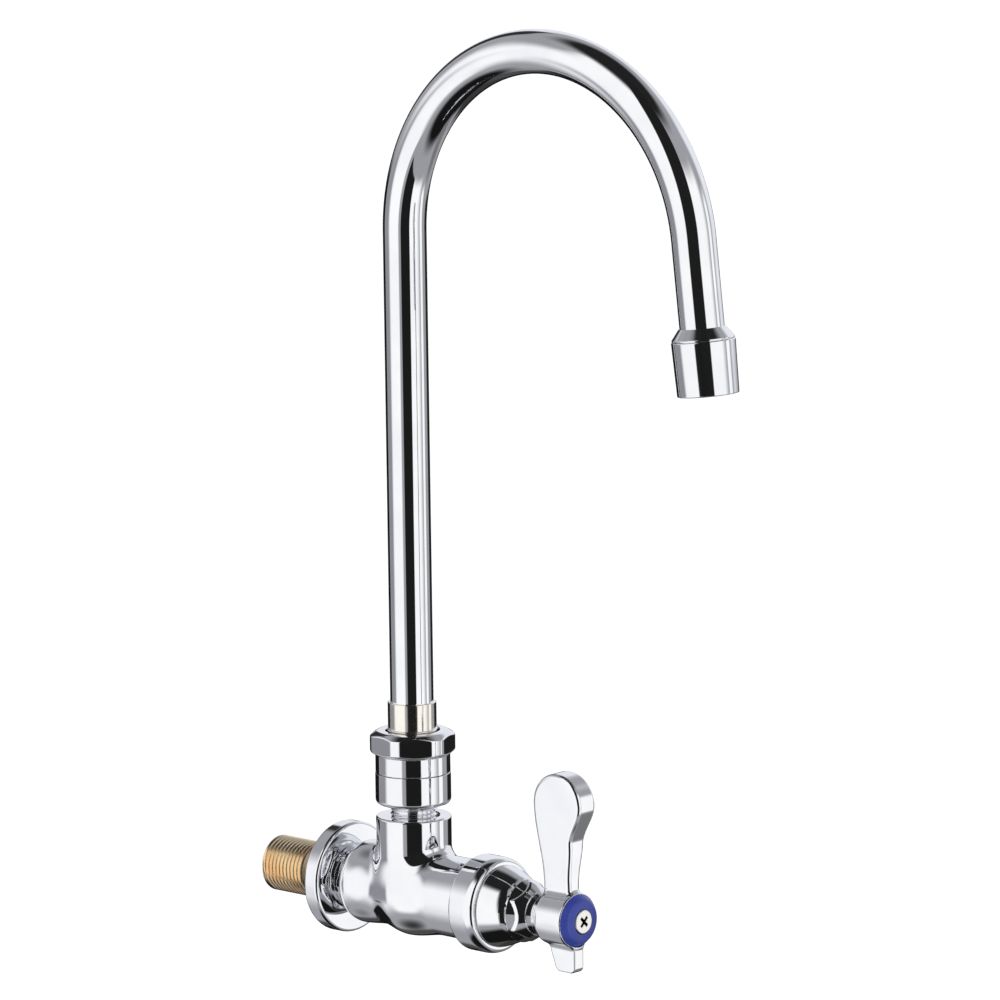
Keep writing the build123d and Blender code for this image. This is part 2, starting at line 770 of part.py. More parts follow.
def disc_ports(plane, first_angle):
    """Two opposite sector-shaped ports of a ceramic disc."""
    with BuildSketch(plane) as ports:
        for side in (0, 180):
            start = first_angle + side - disc_port_angle / 2
            with BuildLine():
                outer = CenterArc((0, 0), disc_port_outer, start, disc_port_angle)
                inner = CenterArc((0, 0), disc_port_inner, start, disc_port_angle)
                Line(outer @ 0, inner @ 0)
                Line(outer @ 1, inner @ 1)
            make_face()
    return ports.sketch


with BuildPart() as fixed_disc:
    with BuildSketch(wall.offset(seal_front)):
        Circle(disc_radius)
        with PolarLocations(disc_radius, 2):
            Rectangle(2 * disc_key_depth, disc_key_width)
    extrude(amount=disc_thickness)
    extrude(disc_ports(wall.offset(seal_front), 90), amount=disc_thickness, mode=Mode.SUBTRACT)
fixed_disc.part.label = "fixed_disc"

with BuildPart() as moving_disc:
    with BuildSketch(wall.offset(fixed_front)):
        Circle(disc_radius - running_gap)
        with PolarLocations(disc_radius, 2):
            Rectangle(2 * driver_leg_depth, driver_leg_width, mode=Mode.SUBTRACT)
    extrude(amount=disc_thickness)
    # closed at rest: its ports stand a quarter turn from those of the fixed disc
    extrude(disc_ports(wall.offset(fixed_front), 0), amount=disc_thickness, mode=Mode.SUBTRACT)
moving_disc.part.label = "moving_disc"

with BuildPart() as valve_stem:
    # foot with two legs that drive the moving disc
    with BuildSketch(wall.offset(foot_rear)):
        Circle(disc_radius - running_gap)
    extrude(amount=driver_foot)
    leg_depth = driver_leg_depth - running_gap
    with BuildSketch(wall.offset(foot_rear)):
        with PolarLocations(disc_radius - running_gap - leg_depth / 2, 2):
            Rectangle(leg_depth, driver_leg_width - 2 * running_gap)
        Circle(disc_radius - running_gap, mode=Mode.INTERSECT)
    extrude(amount=-driver_gap - disc_thickness / 2)
    # shaft, splined end and the thread for the screw
    stem_front = hub_front - index_depth - hub_web - slip_gap
    spline_rear = bonnet_front
    with BuildSketch(wall.offset(foot_front)):
        Circle(stem_radius)
    extrude(amount=spline_rear - foot_front)
    extrude(spline_section(wall.offset(spline_rear), 0), amount=stem_front - spline_rear)
    groove_rears = [
        step - 2 * stem_groove_spacing,
        step - stem_groove_spacing,
    ]
    for groove_rear in groove_rears:
        with BuildSketch(wall.offset(groove_rear)):
            Circle(stem_radius + seam_gap)
            Circle(stem_groove_radius, mode=Mode.SUBTRACT)
        extrude(amount=stem_groove_width, mode=Mode.SUBTRACT)
    with BuildSketch(wall.offset(cartridge_front + slip_gap)):
        Circle(stem_radius + seam_gap)
        Circle(stem_radius - clip_groove_depth, mode=Mode.SUBTRACT)
    extrude(amount=clip_thickness + slip_gap, mode=Mode.SUBTRACT)
    with BuildSketch(wall.offset(stem_front)):
        Circle(screw_radius + thread_gap)
    extrude(amount=-screw_length, mode=Mode.SUBTRACT)
valve_stem.part.label = "valve_stem"

with BuildPart() as stem_o_rings:
    ring_section = (stem_radius - stem_groove_radius - solder_gap) / 2
    for groove_rear in groove_rears:
        with BuildSketch(along_body):
            with Locations((groove_rear + stem_groove_width / 2, stem_radius - ring_section)):
                Circle(ring_section)
        revolve(axis=body_axis)
stem_o_rings.part.label = "stem_o_rings"

with BuildPart() as stem_clip:
    with BuildSketch(wall.offset(cartridge_front + slip_gap)):
        Circle(clip_radius)
        Circle(stem_radius - clip_groove_depth + solder_gap, mode=Mode.SUBTRACT)
        with Locations((0, clip_radius)):
            Rectangle(stem_radius, 2 * clip_radius, mode=Mode.SUBTRACT)
    extrude(amount=clip_thickness)
stem_clip.part.label = "stem_clip"

# ================================================================ lever
with BuildPart() as lever_handle:
    # blade: its side outline, then its thickness from the front
    blade_middle = blade_height - blade_radius
    rear_root = (hub_rear + neck_rear, 0)
    front_root = (hub_front - neck_front, 0)
    with BuildSketch(along_body):
        with BuildLine():
            Line(front_root, rear_root)
            Spline(
                rear_root,
                (hub_rear + neck_rear - neck_lean, neck_height),
                (blade_centre - blade_radius, blade_middle),
                tangents=((0, 1), (0, 1)),
            )
            ThreePointArc(
                (blade_centre - blade_radius, blade_middle),
                (blade_centre, blade_height),
                (blade_centre + blade_radius, blade_middle),
            )
            Spline(
                (blade_centre + blade_radius, blade_middle),
                (hub_front, flare_height),
                (hub_front - neck_front, neck_height),
                front_root,
                tangents=((0, -1), (0, -1)),
            )
        make_face()
    extrude(amount=blade_thickness / 2, both=True)
    with BuildSketch(wall.offset(hub_rear - blade_radius)):
        with BuildLine():
            top_half = blade_thickness / 2
            neck_half = neck_thickness / 2
            Polyline(
                (-neck_half, 0),
                (-neck_half, neck_height),
                (-top_half, blade_middle),
                (-top_half, blade_height),
                (top_half, blade_height),
                (top_half, blade_middle),
                (neck_half, neck_height),
                (neck_half, 0),
                close=True,
            )
        make_face()
    extrude(amount=hub_length + 3 * blade_radius, mode=Mode.INTERSECT)
    blade_rims = lever_handle.edges().filter_by(lambda rim: rim.center().Z > near)
    fillet(blade_rims.filter_by(lambda rim: abs(rim.center().X) > neck_half - near), blade_edge)
    # short tail below the hub
    with BuildSketch(along_body):
        with BuildLine():
            Polyline(
                (hub_rear + tail_rear_top, 0),
                (hub_rear + tail_rear_top, tail_root - hub_radius),
                (hub_rear + tail_rear_bottom, -tail_depth),
                (hub_front + tail_front, -tail_depth),
                (hub_front + tail_front, -hub_radius),
                (hub_front - hub_edge, tail_root - hub_radius),
                (hub_front - hub_edge, 0),
                close=True,
            )
        make_face()
        fillet(vertices().group_by(Axis.Y)[0], tail_corner)
    extrude(amount=tail_thickness / 2, both=True)
    # hub
    with BuildSketch(along_body):
        with BuildLine():
            Polyline(
                (hub_rear, 0),
                (hub_rear, hub_rear_radius),
                (hub_rear + hub_flare_length, hub_radius - hub_swell),
                (hub_front - hub_edge, hub_radius),
                (hub_front, hub_radius - hub_edge),
                (hub_front, 0),
                close=True,
            )
        make_face()
    revolve(axis=body_axis)
    # splined bore, hole for the screw and seat of the index ring
    extrude(
        spline_section(wall.offset(hub_rear), solder_gap),
        amount=hub_length - index_depth - hub_web,
        mode=Mode.SUBTRACT,
    )
    with BuildSketch(wall.offset(hub_rear)):
        Circle(screw_radius + slip_gap)
    extrude(amount=hub_length, mode=Mode.SUBTRACT)
    with BuildSketch(wall.offset(hub_front - index_depth)):
        Circle(index_radius + solder_gap)
    extrude(amount=index_depth, mode=Mode.SUBTRACT)
lever_handle.part.label = "lever_handle"

with BuildPart() as index_ring:
    head_front = hub_front + index_rise + screw_head_proud
    head_seat = head_front - screw_head_height
    head_pocket = screw_head_radius + slip_gap
    dome_lip = head_pocket + index_lip
    with BuildSketch(along_body):
        with BuildLine():
            Polyline(
                (hub_front + index_rise, dome_lip),
                (hub_front + index_rise, head_pocket),
                (head_seat, head_pocket),
                (head_seat, screw_radius + slip_gap),
                (hub_front - index_depth, screw_radius + slip_gap),
                (hub_front - index_depth, index_radius),
                (hub_front, index_radius),
            )
            ThreePointArc(
                (hub_front, index_radius),
                (hub_front + index_shoulder, (index_radius + dome_lip) / 2 + index_bulge),
                (hub_front + index_rise, dome_lip),
            )
        make_face()
    revolve(axis=body_axis)
index_ring.part.label = "index_ring"

with BuildPart() as handle_screw:
    with BuildSketch(wall.offset(head_seat)):
        Circle(screw_head_radius)
    extrude(amount=screw_head_height)
    fillet(handle_screw.edges().filter_by(GeomType.CIRCLE).sort_by(Axis.Y)[0], screw_head_round)
    with BuildSketch(wall.offset(head_seat)):
        Circle(screw_radius)
    extrude(amount=-screw_length)
    # cross recess
    with BuildSketch(wall.offset(head_front)):
        Rectangle(screw_recess_span, screw_recess_width, rotation=45)
        Rectangle(screw_recess_span, screw_recess_width, rotation=-45)
    extrude(amount=-screw_recess_depth, mode=Mode.SUBTRACT)
handle_screw.part.label = "handle_screw"

pieces = [
    inlet_nipple,
    wall_flange,
    faucet_body,
    housing_seal,
    swivel_housing,
    slip_washer,
    spout_nut,
    spout_ferrule,
    spout_o_rings,
    snap_ring,
    spout_tube,
    outlet_adapter,
    aerator_shell,
    aerator_washer,
    aerator_insert,
    aerator_screen,
    bonnet,
    bonnet_o_ring,
    cartridge_housing,
    seat_seal,
    fixed_disc,
    moving_disc,
    valve_stem,
    stem_o_rings,
    stem_clip,
    lever_handle,
    index_ring,
    handle_screw,
]
for piece in pieces:
    export_step(piece.part, f"parts/{piece.part.label}.step")
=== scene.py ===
import json
from itertools import product
from math import cos, pi, radians, sin, sqrt, tan

import bmesh
import bpy
import numpy as np
from mathutils import Matrix, Vector


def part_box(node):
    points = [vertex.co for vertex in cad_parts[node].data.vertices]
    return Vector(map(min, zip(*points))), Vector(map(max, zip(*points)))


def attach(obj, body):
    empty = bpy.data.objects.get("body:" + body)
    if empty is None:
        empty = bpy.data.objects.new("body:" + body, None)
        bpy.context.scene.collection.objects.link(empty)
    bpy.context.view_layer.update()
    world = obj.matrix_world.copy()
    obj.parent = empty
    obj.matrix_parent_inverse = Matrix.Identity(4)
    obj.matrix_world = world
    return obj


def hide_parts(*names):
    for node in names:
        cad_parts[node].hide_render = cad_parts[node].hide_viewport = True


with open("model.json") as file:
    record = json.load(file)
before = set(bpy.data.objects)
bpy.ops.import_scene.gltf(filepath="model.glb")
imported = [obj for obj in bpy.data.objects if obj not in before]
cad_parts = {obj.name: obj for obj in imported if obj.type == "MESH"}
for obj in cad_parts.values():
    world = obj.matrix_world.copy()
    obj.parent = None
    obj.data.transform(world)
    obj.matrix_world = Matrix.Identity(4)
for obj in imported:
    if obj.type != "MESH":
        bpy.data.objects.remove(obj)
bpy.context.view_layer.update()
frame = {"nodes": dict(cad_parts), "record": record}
nodes = frame["nodes"]

# Looks of the wall faucet. The origin is on the inlet axis in the wall plane, +Z is up,
# the wall is towards +Y and the lever towards -Y. Shapes are worked out in millimetres,
# "forward" distances from the wall plane towards -Y and heights from the inlet axis.
MM = 0.001
body_of = {
    node: body
    for body, members in frame["record"]["behaviour"]["bodies"].items()
    for node in members
}
slot_of = {
    name: node.material_slots[0].material.name.split(".")[0] for name, node in nodes.items()
}


def span(node, axis):
    """Lowest and highest place of a CAD node along an axis, in mm."""
    low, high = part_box(node)
    return low[axis] / MM, high[axis] / MM


# ------------------------------ camera
CAMERA_PLACE = Vector((-1.83653, -1.76679, 0.58988))
CAMERA_BACK = Vector((-0.72587, -0.66561, 0.17346))
CAMERA_UP = Vector((0.13676, 0.10748, 0.98476))
CAMERA_LENS = 251.55
SENSOR_WIDTH = 36.0
CAMERA_REACH = 100.0

# ------------------------------ studio
FLOOR_HEIGHT = -0.30
FLOOR_SIZE = 60.0
WORLD_STRENGTH = 0.80
FLOOR_GLOW = 0.14
BACKDROP_GLOW = 0.22  # what the camera alone sees more, so that the floor looks white
FLOOR_COLOUR = (0.86, 0.86, 0.86, 1)
WHITE = (1, 1, 1, 1)
KEY_SIZE = 1.2
KEY_POWER = 14.0
KEY_PLACE = Vector((-1.1, -0.9, 1.6))
KEY_AIM = Vector((0, -0.08, 0.1))

# ------------------------------ meshes
MARGIN = 1.0  # free space around a cast shape, and how far a cut runs past a face
ARC_STEP = radians(11)  # of a rounded corner in a turned outline
TURN_STEPS = 168  # of a turned piece, all round
PIPE_STEPS = 96
THREAD_STEPS = 14  # rows of mesh in a thread's pitch
NO_LENGTH = 1e-6
OUTWARD = 0.9  # radial share of a normal that counts as facing outwards
STRAIGHT_OUT = 0.99
EVENING_ROUNDS = 4
LEAST_SLOPE = 0.25  # squared, where a point is drawn onto its surface
DIAGONAL = sqrt(0.5)  # sine and cosine of 45 degrees

# ------------------------------ shared edges and gaps
FINE_EDGE = 0.1
BROKEN_EDGE = 0.15
RIM_EDGE = 0.2
BORE_EDGE = 0.3  # where a bore or a thread opens
THREAD_GAP = 0.05  # between threads that engage out of sight
TUBE_GAP = 0.03  # around the tube where a piece is fixed on it

# ------------------------------ wall end
FLANGE_RADIUS = span("wall_flange", 0)[1]
FLANGE_FRONT = -span("wall_flange", 1)[0]
FLANGE_RIM = 2.2
FLANGE_WEB = 2.6
FLANGE_EDGE = 1.3
FLANGE_CORNER = 0.6
SHANK_RADIUS = 9.2
SHANK_CLEAR = 0.15
PIPE_RADIUS = span("inlet_nipple", 0)[1]
PIPE_END = span("inlet_nipple", 1)[1]
PIPE_PITCH = 1.8143
PIPE_DEPTH = 1.16
PIPE_TURNS = 12
PIPE_LEAD = 0.9
PIPE_SHOULDER = 0.6  # slope from the shank up to the thread
INLET_BORE = 6.75
SOCKET_FRONT = -span("inlet_nipple", 1)[0]

# ------------------------------ body casting
SWIVEL = 37.4  # the spout's swivel axis, in front of the wall
SPIGOT = 11.3
SPIGOT_FILLET = 0.9
WRENCH_REAR = 9.4
WRENCH_FRONT = 11.0
WRENCH_APOTHEM = 11.78
WRENCH_ROUND = 1.4
WRENCH_EDGE = 0.4
WRENCH_TURN = 30  # degrees from +X to the middle of a flat
SHOULDER = 4.2  # drop of the globe towards its hexagonal end
SHOULDER_FILLET = 0.5
BARREL = ((16.0, 15.7), (27.4, 14.8), (39.4, 17.0), (55.8, 14.9))  # forward, radius
COLLAR_REAR = 70.4
COLLAR_FRONT = -span("faucet_body", 1)[0]
COLLAR_RADIUS = 17.9
COLLAR_CROWN = 4.0
COLLAR_CROWN_RADIUS = 8.0
COLLAR_EDGE = 1.0
COLLAR_FILLET = 0.9
BOSS_RADIUS = 13.95
BOSS_TOP = span("faucet_body", 2)[1]
BOSS_FILLET = 3.2
BOSS_SOCKET = 8.45
BOSS_SINK = 1.4
BOSS_FLOOR = 15.1
WATERWAY = 6.0
SEAT = 28.0
CHAMBER = 10.6
STEP = 71.0
COLLAR_BORE = 14.2
CAST_EDGE = 0.8  # rounding of cast edges
BODY_CELL = 0.36

# ------------------------------ swivel and spout nut
HOUSING_BOTTOM = 32.5
HOUSING_TOP = 44.4
HOUSING_RADIUS = span("swivel_housing", 0)[1]
HOUSING_ROUND = 2.2
SPIGOT_BOTTOM = span("swivel_housing", 2)[0]
SPIGOT_THREAD = 8.4
SPIGOT_PITCH = 1.5
SPIGOT_DEPTH = 0.75
SPIGOT_TURNS = 9
SPIGOT_RELIEF = 0.4  # plain stretch above its thread
CUP_RIM = span("swivel_housing", 2)[1]
CUP_FLOOR = 37.2
CUP_BORE = 10.2
CUP_THREAD = 12.4
HOUSING_PORT = 5.5
SKIRT_BOTTOM = span("spout_nut", 2)[0]
SKIRT_RADIUS = 13.85
NUT_BOTTOM = 51.4
NUT_TOP = span("spout_nut", 2)[1]
NUT_APOTHEM = 14.6
NUT_CORNER = 15.8
NUT_FACE = 12.7
NUT_SLOPE = 0.6
NUT_TURN = 50.5  # degrees from +X to the middle of a flat
NUT_THREAD = 12.45
NUT_LIP = 55.0
NUT_BORE = 9.98
NUT_EDGE = 0.45
NUT_MOUTH = 0.5  # rounding of its bore
NUT_CELL = 0.25

# ------------------------------ spout
TUBE_RADIUS = 8.0
TUBE_WALL = 1.0
RISER_TOP = 245.8
BEND_RADIUS = 69.8
BEND_TURN = radians(173.5)
TUBE_TAIL = 34.1
TUBE_BOTTOM = span("spout_tube", 2)[0]
FERRULE_BOTTOM = span("spout_ferrule", 2)[0]
FERRULE_TOP = span("spout_ferrule", 2)[1]
FERRULE_RADIUS = 9.0
FERRULE_LAND = 10.12
FERRULE_LAND_TOP = 53.65
FERRULE_LEDGE = 1.5
FERRULE_EDGE = 0.35
BEAD_RADIUS = 9.3
BEAD_BOTTOM = 60.0
BEAD_HEIGHT = 0.9
BEAD_EDGE = 0.25
CONE_TOP = 30.7
CONE_SMALL = 8.3
CONE_LARGE = 11.2
CONE_BOTTOM = 35.0
CONE_LIP = 0.5
CONE_EDGE = 0.6
OUTLET_THREAD = 10.0
OUTLET_END = 43.8
SHELL_TOP = 35.15
SHELL_BOTTOM = 54.55
SHELL_TOP_RADIUS = 11.45
SHELL_BOTTOM_RADIUS = 11.0
SHELL_EDGE = 0.45
SHELL_SEAT = 9.53
SHELL_GAP = 0.15  # below the end of the outlet
MOUTH_RADIUS = 8.6
MOUTH_EDGE = 0.5
MOUTH_TOP = 51.7
SCREEN_TOP = 51.2
SCREEN_THICKNESS = 0.5
SCREEN_RADIUS = 9.5
WIRE_RADIUS = 0.11
WIRE_PITCH = 0.8
WIRE_SIDES = 6
WIRE_TUCK = 0.2  # length of a wire's end inside the rim

# ------------------------------ bonnet
DOME_ROOT = 15.4
DOME_TIP = 10.6
DOME_SWELL = 0.35  # its side stands this far outside a straight cone
DOME_ROUND = 0.7
DOME_NOSE = 3.0  # rounding of its front
DOME_FRONT = 93.2
GROOVE_FRONT = 81.7
GROOVE_RADIUS = 14.6
BONNET_SHANK = 14.15
BONNET_APOTHEM = 9.8
BONNET_HEX_FRONT = 99.9
BONNET_FACE = 7.9
BONNET_SLOPE = 1.25
BONNET_FILLET = 0.5
BONNET_NECK = 6.6  # radius at its front
BONNET_NECK_DROP = 0.6  # its radius shrinks by this much per mm
BONNET_FRONT = -span("bonnet", 1)[0]
BONNET_REAR = -span("bonnet", 1)[1]
BONNET_CAVITY = 10.5
BONNET_CAVITY_FRONT = 88.2
BONNET_BORE = 5.2
BONNET_EDGE = 0.4
BONNET_CELL = 0.28

# ------------------------------ lever
HUB_REAR = 102.2
HUB_FRONT = 118.4
HUB_PROFILE = ((HUB_REAR, 8.0), (106.8, 10.05), (HUB_FRONT, 10.2))  # forward, radius
HUB_EDGE = 0.8
HUB_REAR_EDGE = 0.4
HUB_BORE = 4.25
HUB_WEB_REAR = 115.0
HUB_SCREW = 2.65
RING_SEAT = 116.4
RING_BORE = 9.63
BLADE_TOP = span("lever_handle", 2)[1]
BLADE_RADIUS = 11.4
BLADE_FORWARD = 112.2
BLADE_MIDDLE = BLADE_TOP - BLADE_RADIUS
NECK_EVEN = 6.0  # height up to which the neck keeps its thickness
NECK_TOP = 14.0
BLADE_REAR_EDGE = (
    (0, 104.1),
    (NECK_TOP, 104.0),
    (BLADE_MIDDLE, BLADE_FORWARD - BLADE_RADIUS),
)  # height, forward
BLADE_FRONT_EDGE = (
    (0, 117.0),
    (NECK_TOP, 117.0),
    (28.0, 118.4),
    (BLADE_MIDDLE, BLADE_FORWARD + BLADE_RADIUS),
)  # height, forward
BLADE_HALF = 4.65
NECK_HALF = 3.0
BLADE_ROUND = 1.5
BLADE_FILLET = 1.6
LEVER_CELL = 0.28
TAIL_BOTTOM = span("lever_handle", 2)[0]
TAIL_HALF = 2.6
TAIL_REAR = ((-19.5, 109.3), (-10.0, 106.8))  # height, forward
TAIL_FRONT = 118.7
TAIL_ROUND = 0.6
TAIL_CORNER = 2.2
RING_FRONT = -span("index_ring", 1)[0]
RING_RADIUS = 9.6
RING_LIP = 5.35
RING_LIP_ROUND = 0.6
RING_EDGE = 0.4
RING_CROWN = (RING_RADIUS + RING_LIP) / 2 + 0.5  # radius of the middle of its dome
RING_CROWN_DROP = 0.35
RING_CROWN_ROUND = 2.4
HEAD_POCKET = 4.65
SCREW_FRONT = -span("handle_screw", 1)[0]
SCREW_REAR = -span("handle_screw", 1)[1]
SCREW_HEAD = 4.5
SCREW_HEAD_HEIGHT = 1.8
SCREW_SHANK = 2.5
SCREW_ROUND = 0.6
SCREW_REST = 0.2  # metal left below the cross recess
SCREW_CELL = 0.13
CROSS_HALF = 2.3
CROSS_WIDTH = 0.55
CROSS_DEPTH = 1.5
CROSS_TAPER = 0.25  # narrowing of its slots towards their floor, per mm
CROSS_FILLET = 0.2
CROSS_EDGE = 0.12
# painted shade in the cross recess: where it starts, how softly, and how far past the slots it reaches
CROSS_SHADE = 0.25  # painted shade darkens the recess from this far below the head
CROSS_SHADE_SOFT = 0.1
CROSS_SHADE_RIM = 0.3


def srgb(red, green, blue):
    """A colour given in 0-255 display values, as the linear colour a shader takes."""
    linear = []
    for value in (red, green, blue):
        share = value / 255
        if share <= 0.04045:
            linear.append(share / 12.92)
        else:
            linear.append(((share + 0.055) / 1.055) ** 2.4)
    return (*linear, 1.0)


def grey(level):
    """A neutral grey given in 0-255 display values."""
    return srgb(level, level, level)


# ============================== node helpers
class Nodes:
    """Short calls that add shader nodes to one node tree and link them."""

    def __init__(self, tree, keep=False):
        self.tree = tree
        if not keep:
            self.tree.nodes.clear()

    def add(self, kind, **settings):
        node = self.tree.nodes.new(kind)
        for name, value in settings.items():
            setattr(node, name, value)
        return node

    def link(self, out, into):
        self.tree.links.new(out, into)

    def put(self, socket, value):
        if isinstance(value, bpy.types.NodeSocket):
            self.link(value, socket)
        else:
            socket.default_value = value

    def math(self, operation, first, second=0.0):
        node = self.add("ShaderNodeMath", operation=operation)
        self.put(node.inputs[0], first)
        self.put(node.inputs[1], second)
        return node.outputs[0]

    def ramp(self, value, start, end, low=0.0, high=1.0):
        """Smooth step from low to high while value goes from start to end."""
        node = self.add("ShaderNodeMapRange", interpolation_type="SMOOTHSTEP")
        self.put(node.inputs["Value"], value)
        node.inputs["From Min"].default_value = start
        node.inputs["From Max"].default_value = end
        node.inputs["To Min"].default_value = low
        node.inputs["To Max"].default_value = high
        return node.outputs["Result"]

    def mix(self, share, first, second):
        node = self.add("ShaderNodeMix", data_type="RGBA")
        self.put(node.inputs["Factor"], share)
        self.put(node.inputs[6], first)
        self.put(node.inputs[7], second)
        return node.outputs[2]

    def noise(self, place, scale, detail=3.0, roughness=0.5):
        node = self.add("ShaderNodeTexNoise")
        self.put(node.inputs["Vector"], place)
        node.inputs["Scale"].default_value = scale
        node.inputs["Detail"].default_value = detail
        node.inputs["Roughness"].default_value = roughness
        return node.outputs["Fac"]

    def stretched(self, place, scale):
        node = self.add("ShaderNodeMapping")
        self.put(node.inputs["Vector"], place)
        node.inputs["Scale"].default_value = scale
        return node.outputs["Vector"]

    def bump(self, height, distance):
        node = self.add("ShaderNodeBump")
        self.put(node.inputs["Height"], height)
        node.inputs["Distance"].default_value = distance
        return node.outputs["Normal"]


def new_material(name):
    material = bpy.data.materials.new(name)
    material.use_nodes = True
    kit = Nodes(material.node_tree)
    shader = kit.add("ShaderNodeBsdfPrincipled")
    output = kit.add("ShaderNodeOutputMaterial")
    kit.link(shader.outputs[0], output.inputs["Surface"])
    place = kit.add("ShaderNodeTexCoord").outputs["Object"]
    return material, kit, shader, place


# ============================== materials
finish_of = {}


def metal(name, dark, light, rough, grain, bump, stretch=(1, 1, 1)):
    """Polished or brushed metal: faint cloudiness, fine polishing grain and slight waviness."""
    material, kit, shader, place = new_material(name)
    cloud = kit.noise(place, scale=60.0, detail=3.0)
    fine = kit.noise(kit.stretched(place, stretch), grain, detail=4.0, roughness=0.6)
    drift = kit.ramp(cloud, start=0.3, end=0.7)
    kit.put(shader.inputs["Base Color"], kit.mix(drift, dark, light))
    shader.inputs["Metallic"].default_value = 1.0
    low, high = rough
    kit.put(shader.inputs["Roughness"], kit.ramp(fine, start=0.25, end=0.75, low=low, high=high))
    kit.put(shader.inputs["Normal"], kit.bump(fine, bump))
    finish_of[name] = material
    return material


metal(
    "polished_chrome",
    dark=srgb(243, 244, 247),
    light=srgb(250, 251, 253),
    rough=(0.015, 0.045),
    grain=900.0,
    bump=0.0000015,
)
metal(
    "satin_sleeve",
    dark=srgb(246, 241, 232),
    light=srgb(253, 249, 241),
    rough=(0.08, 0.15),
    grain=1500.0,
    bump=0.000002,
    stretch=(1, 1, 14),
)
metal(
    "raw_brass",
    dark=srgb(253, 219, 174),
    light=srgb(255, 238, 206),
    rough=(0.14, 0.24),
    grain=1400.0,
    bump=0.000002,
)
STEEL_LOOK = {
    "dark": srgb(244, 243, 238),
    "light": srgb(252, 251, 247),
    "rough": (0.12, 0.22),
    "grain": 1800.0,
    "bump": 0.000002,
}
metal("bright_steel", **STEEL_LOOK)


def plastic(name, dark, light, rough, grain, bump):
    """Moulded plastic or rubber: faint colour drift and a fine matt texture."""
    material, kit, shader, place = new_material(name)
    cloud = kit.noise(place, scale=90.0, detail=4.0)
    fine = kit.noise(place, grain, detail=3.0)
    drift = kit.ramp(cloud, start=0.3, end=0.7)
    kit.put(shader.inputs["Base Color"], kit.mix(drift, dark, light))
    spread = kit.ramp(fine, start=0.2, end=0.8, low=rough - 0.08, high=rough + 0.08)
    kit.put(shader.inputs["Roughness"], spread)
    kit.put(shader.inputs["Normal"], kit.bump(fine, bump))
    finish_of[name] = material
    return material


plastic("blue_plastic", srgb(38, 52, 134), srgb(48, 64, 150), rough=0.30, grain=2600.0, bump=0.00001)
plastic("white_plastic", srgb(228, 227, 222), srgb(238, 237, 233), rough=0.40, grain=2400.0, bump=0.00001)
plastic("black_rubber", srgb(26, 26, 27), srgb(38, 38, 39), rough=0.62, grain=2200.0, bump=0.00002)
plastic("ceramic", srgb(236, 234, 228), srgb(245, 244, 240), rough=0.22, grain=3000.0, bump=0.000003)

for node in nodes.values():
    for slot in node.material_slots:
        slot.material = finish_of[slot.material.name.split(".")[0]]


# ============================== mesh helpers
def dress(node, mesh):
    """Puts a mesh on the object in place of the CAD node, on the same body."""
    mesh.transform(Matrix.Scale(MM, 4))
    mesh.materials.append(finish_of[slot_of[node]])
    piece = bpy.data.objects.new(f"{node}_shape", mesh)
    bpy.context.scene.collection.objects.link(piece)
    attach(piece, body_of[node])
    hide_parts(node)
    return piece


def smooth_mesh(name, points, faces, corner_normals):
    """Mesh with exact normals at every corner of every face."""
    mesh = bpy.data.meshes.new(name)
    mesh.from_pydata(points.tolist(), [], faces.tolist())
    mesh.shade_smooth()
    mesh.normals_split_custom_set(corner_normals.tolist())
    return mesh


# ------------------------------ turned and bent shapes
def rounded(corners):
    """Closed outline as segments (start, end, start normal, end normal) in its own plane.

    A corner is (place, radius, rounding); a rounding of 0 keeps it sharp."""
    count = len(corners)
    points = [Vector(corner[:2]) for corner in corners]
    area = sum(points[i].cross(points[(i + 1) % count]) for i in range(count))
    outward = -1 if area > 0 else 1
    ends = []
    for i, (_, _, rounding) in enumerate(corners):
        before = (points[i] - points[i - 1]).normalized()
        after = (points[(i + 1) % count] - points[i]).normalized()
        first = outward * before.orthogonal()
        last = outward * after.orthogonal()
        if rounding == 0:
            ends.append([(points[i], first), (points[i], last)])
            continue
        bend = before.angle_signed(after)
        cut = rounding * tan(abs(bend) / 2)
        steps = max(3, round(abs(bend) / ARC_STEP))
        side = 1 if first.dot(after) < 0 else -1
        centre = points[i] - before * cut - first * rounding * side
        arc = []
        for step in range(steps + 1):
            normal = first.slerp(last, step / steps)
            arc.append((centre + normal * rounding * side, normal))
        ends.append(arc)
    segments = []
    for i, arc in enumerate(ends):
        for (start, start_normal), (end, end_normal) in zip(arc, arc[1:]):
            if (end - start).length > NO_LENGTH:
                segments.append((start, end, start_normal, end_normal))
        following = ends[(i + 1) % count][0]
        if (following[0] - arc[-1][0]).length > NO_LENGTH:
            segments.append((arc[-1][0], following[0], arc[-1][1], following[1]))
    return segments


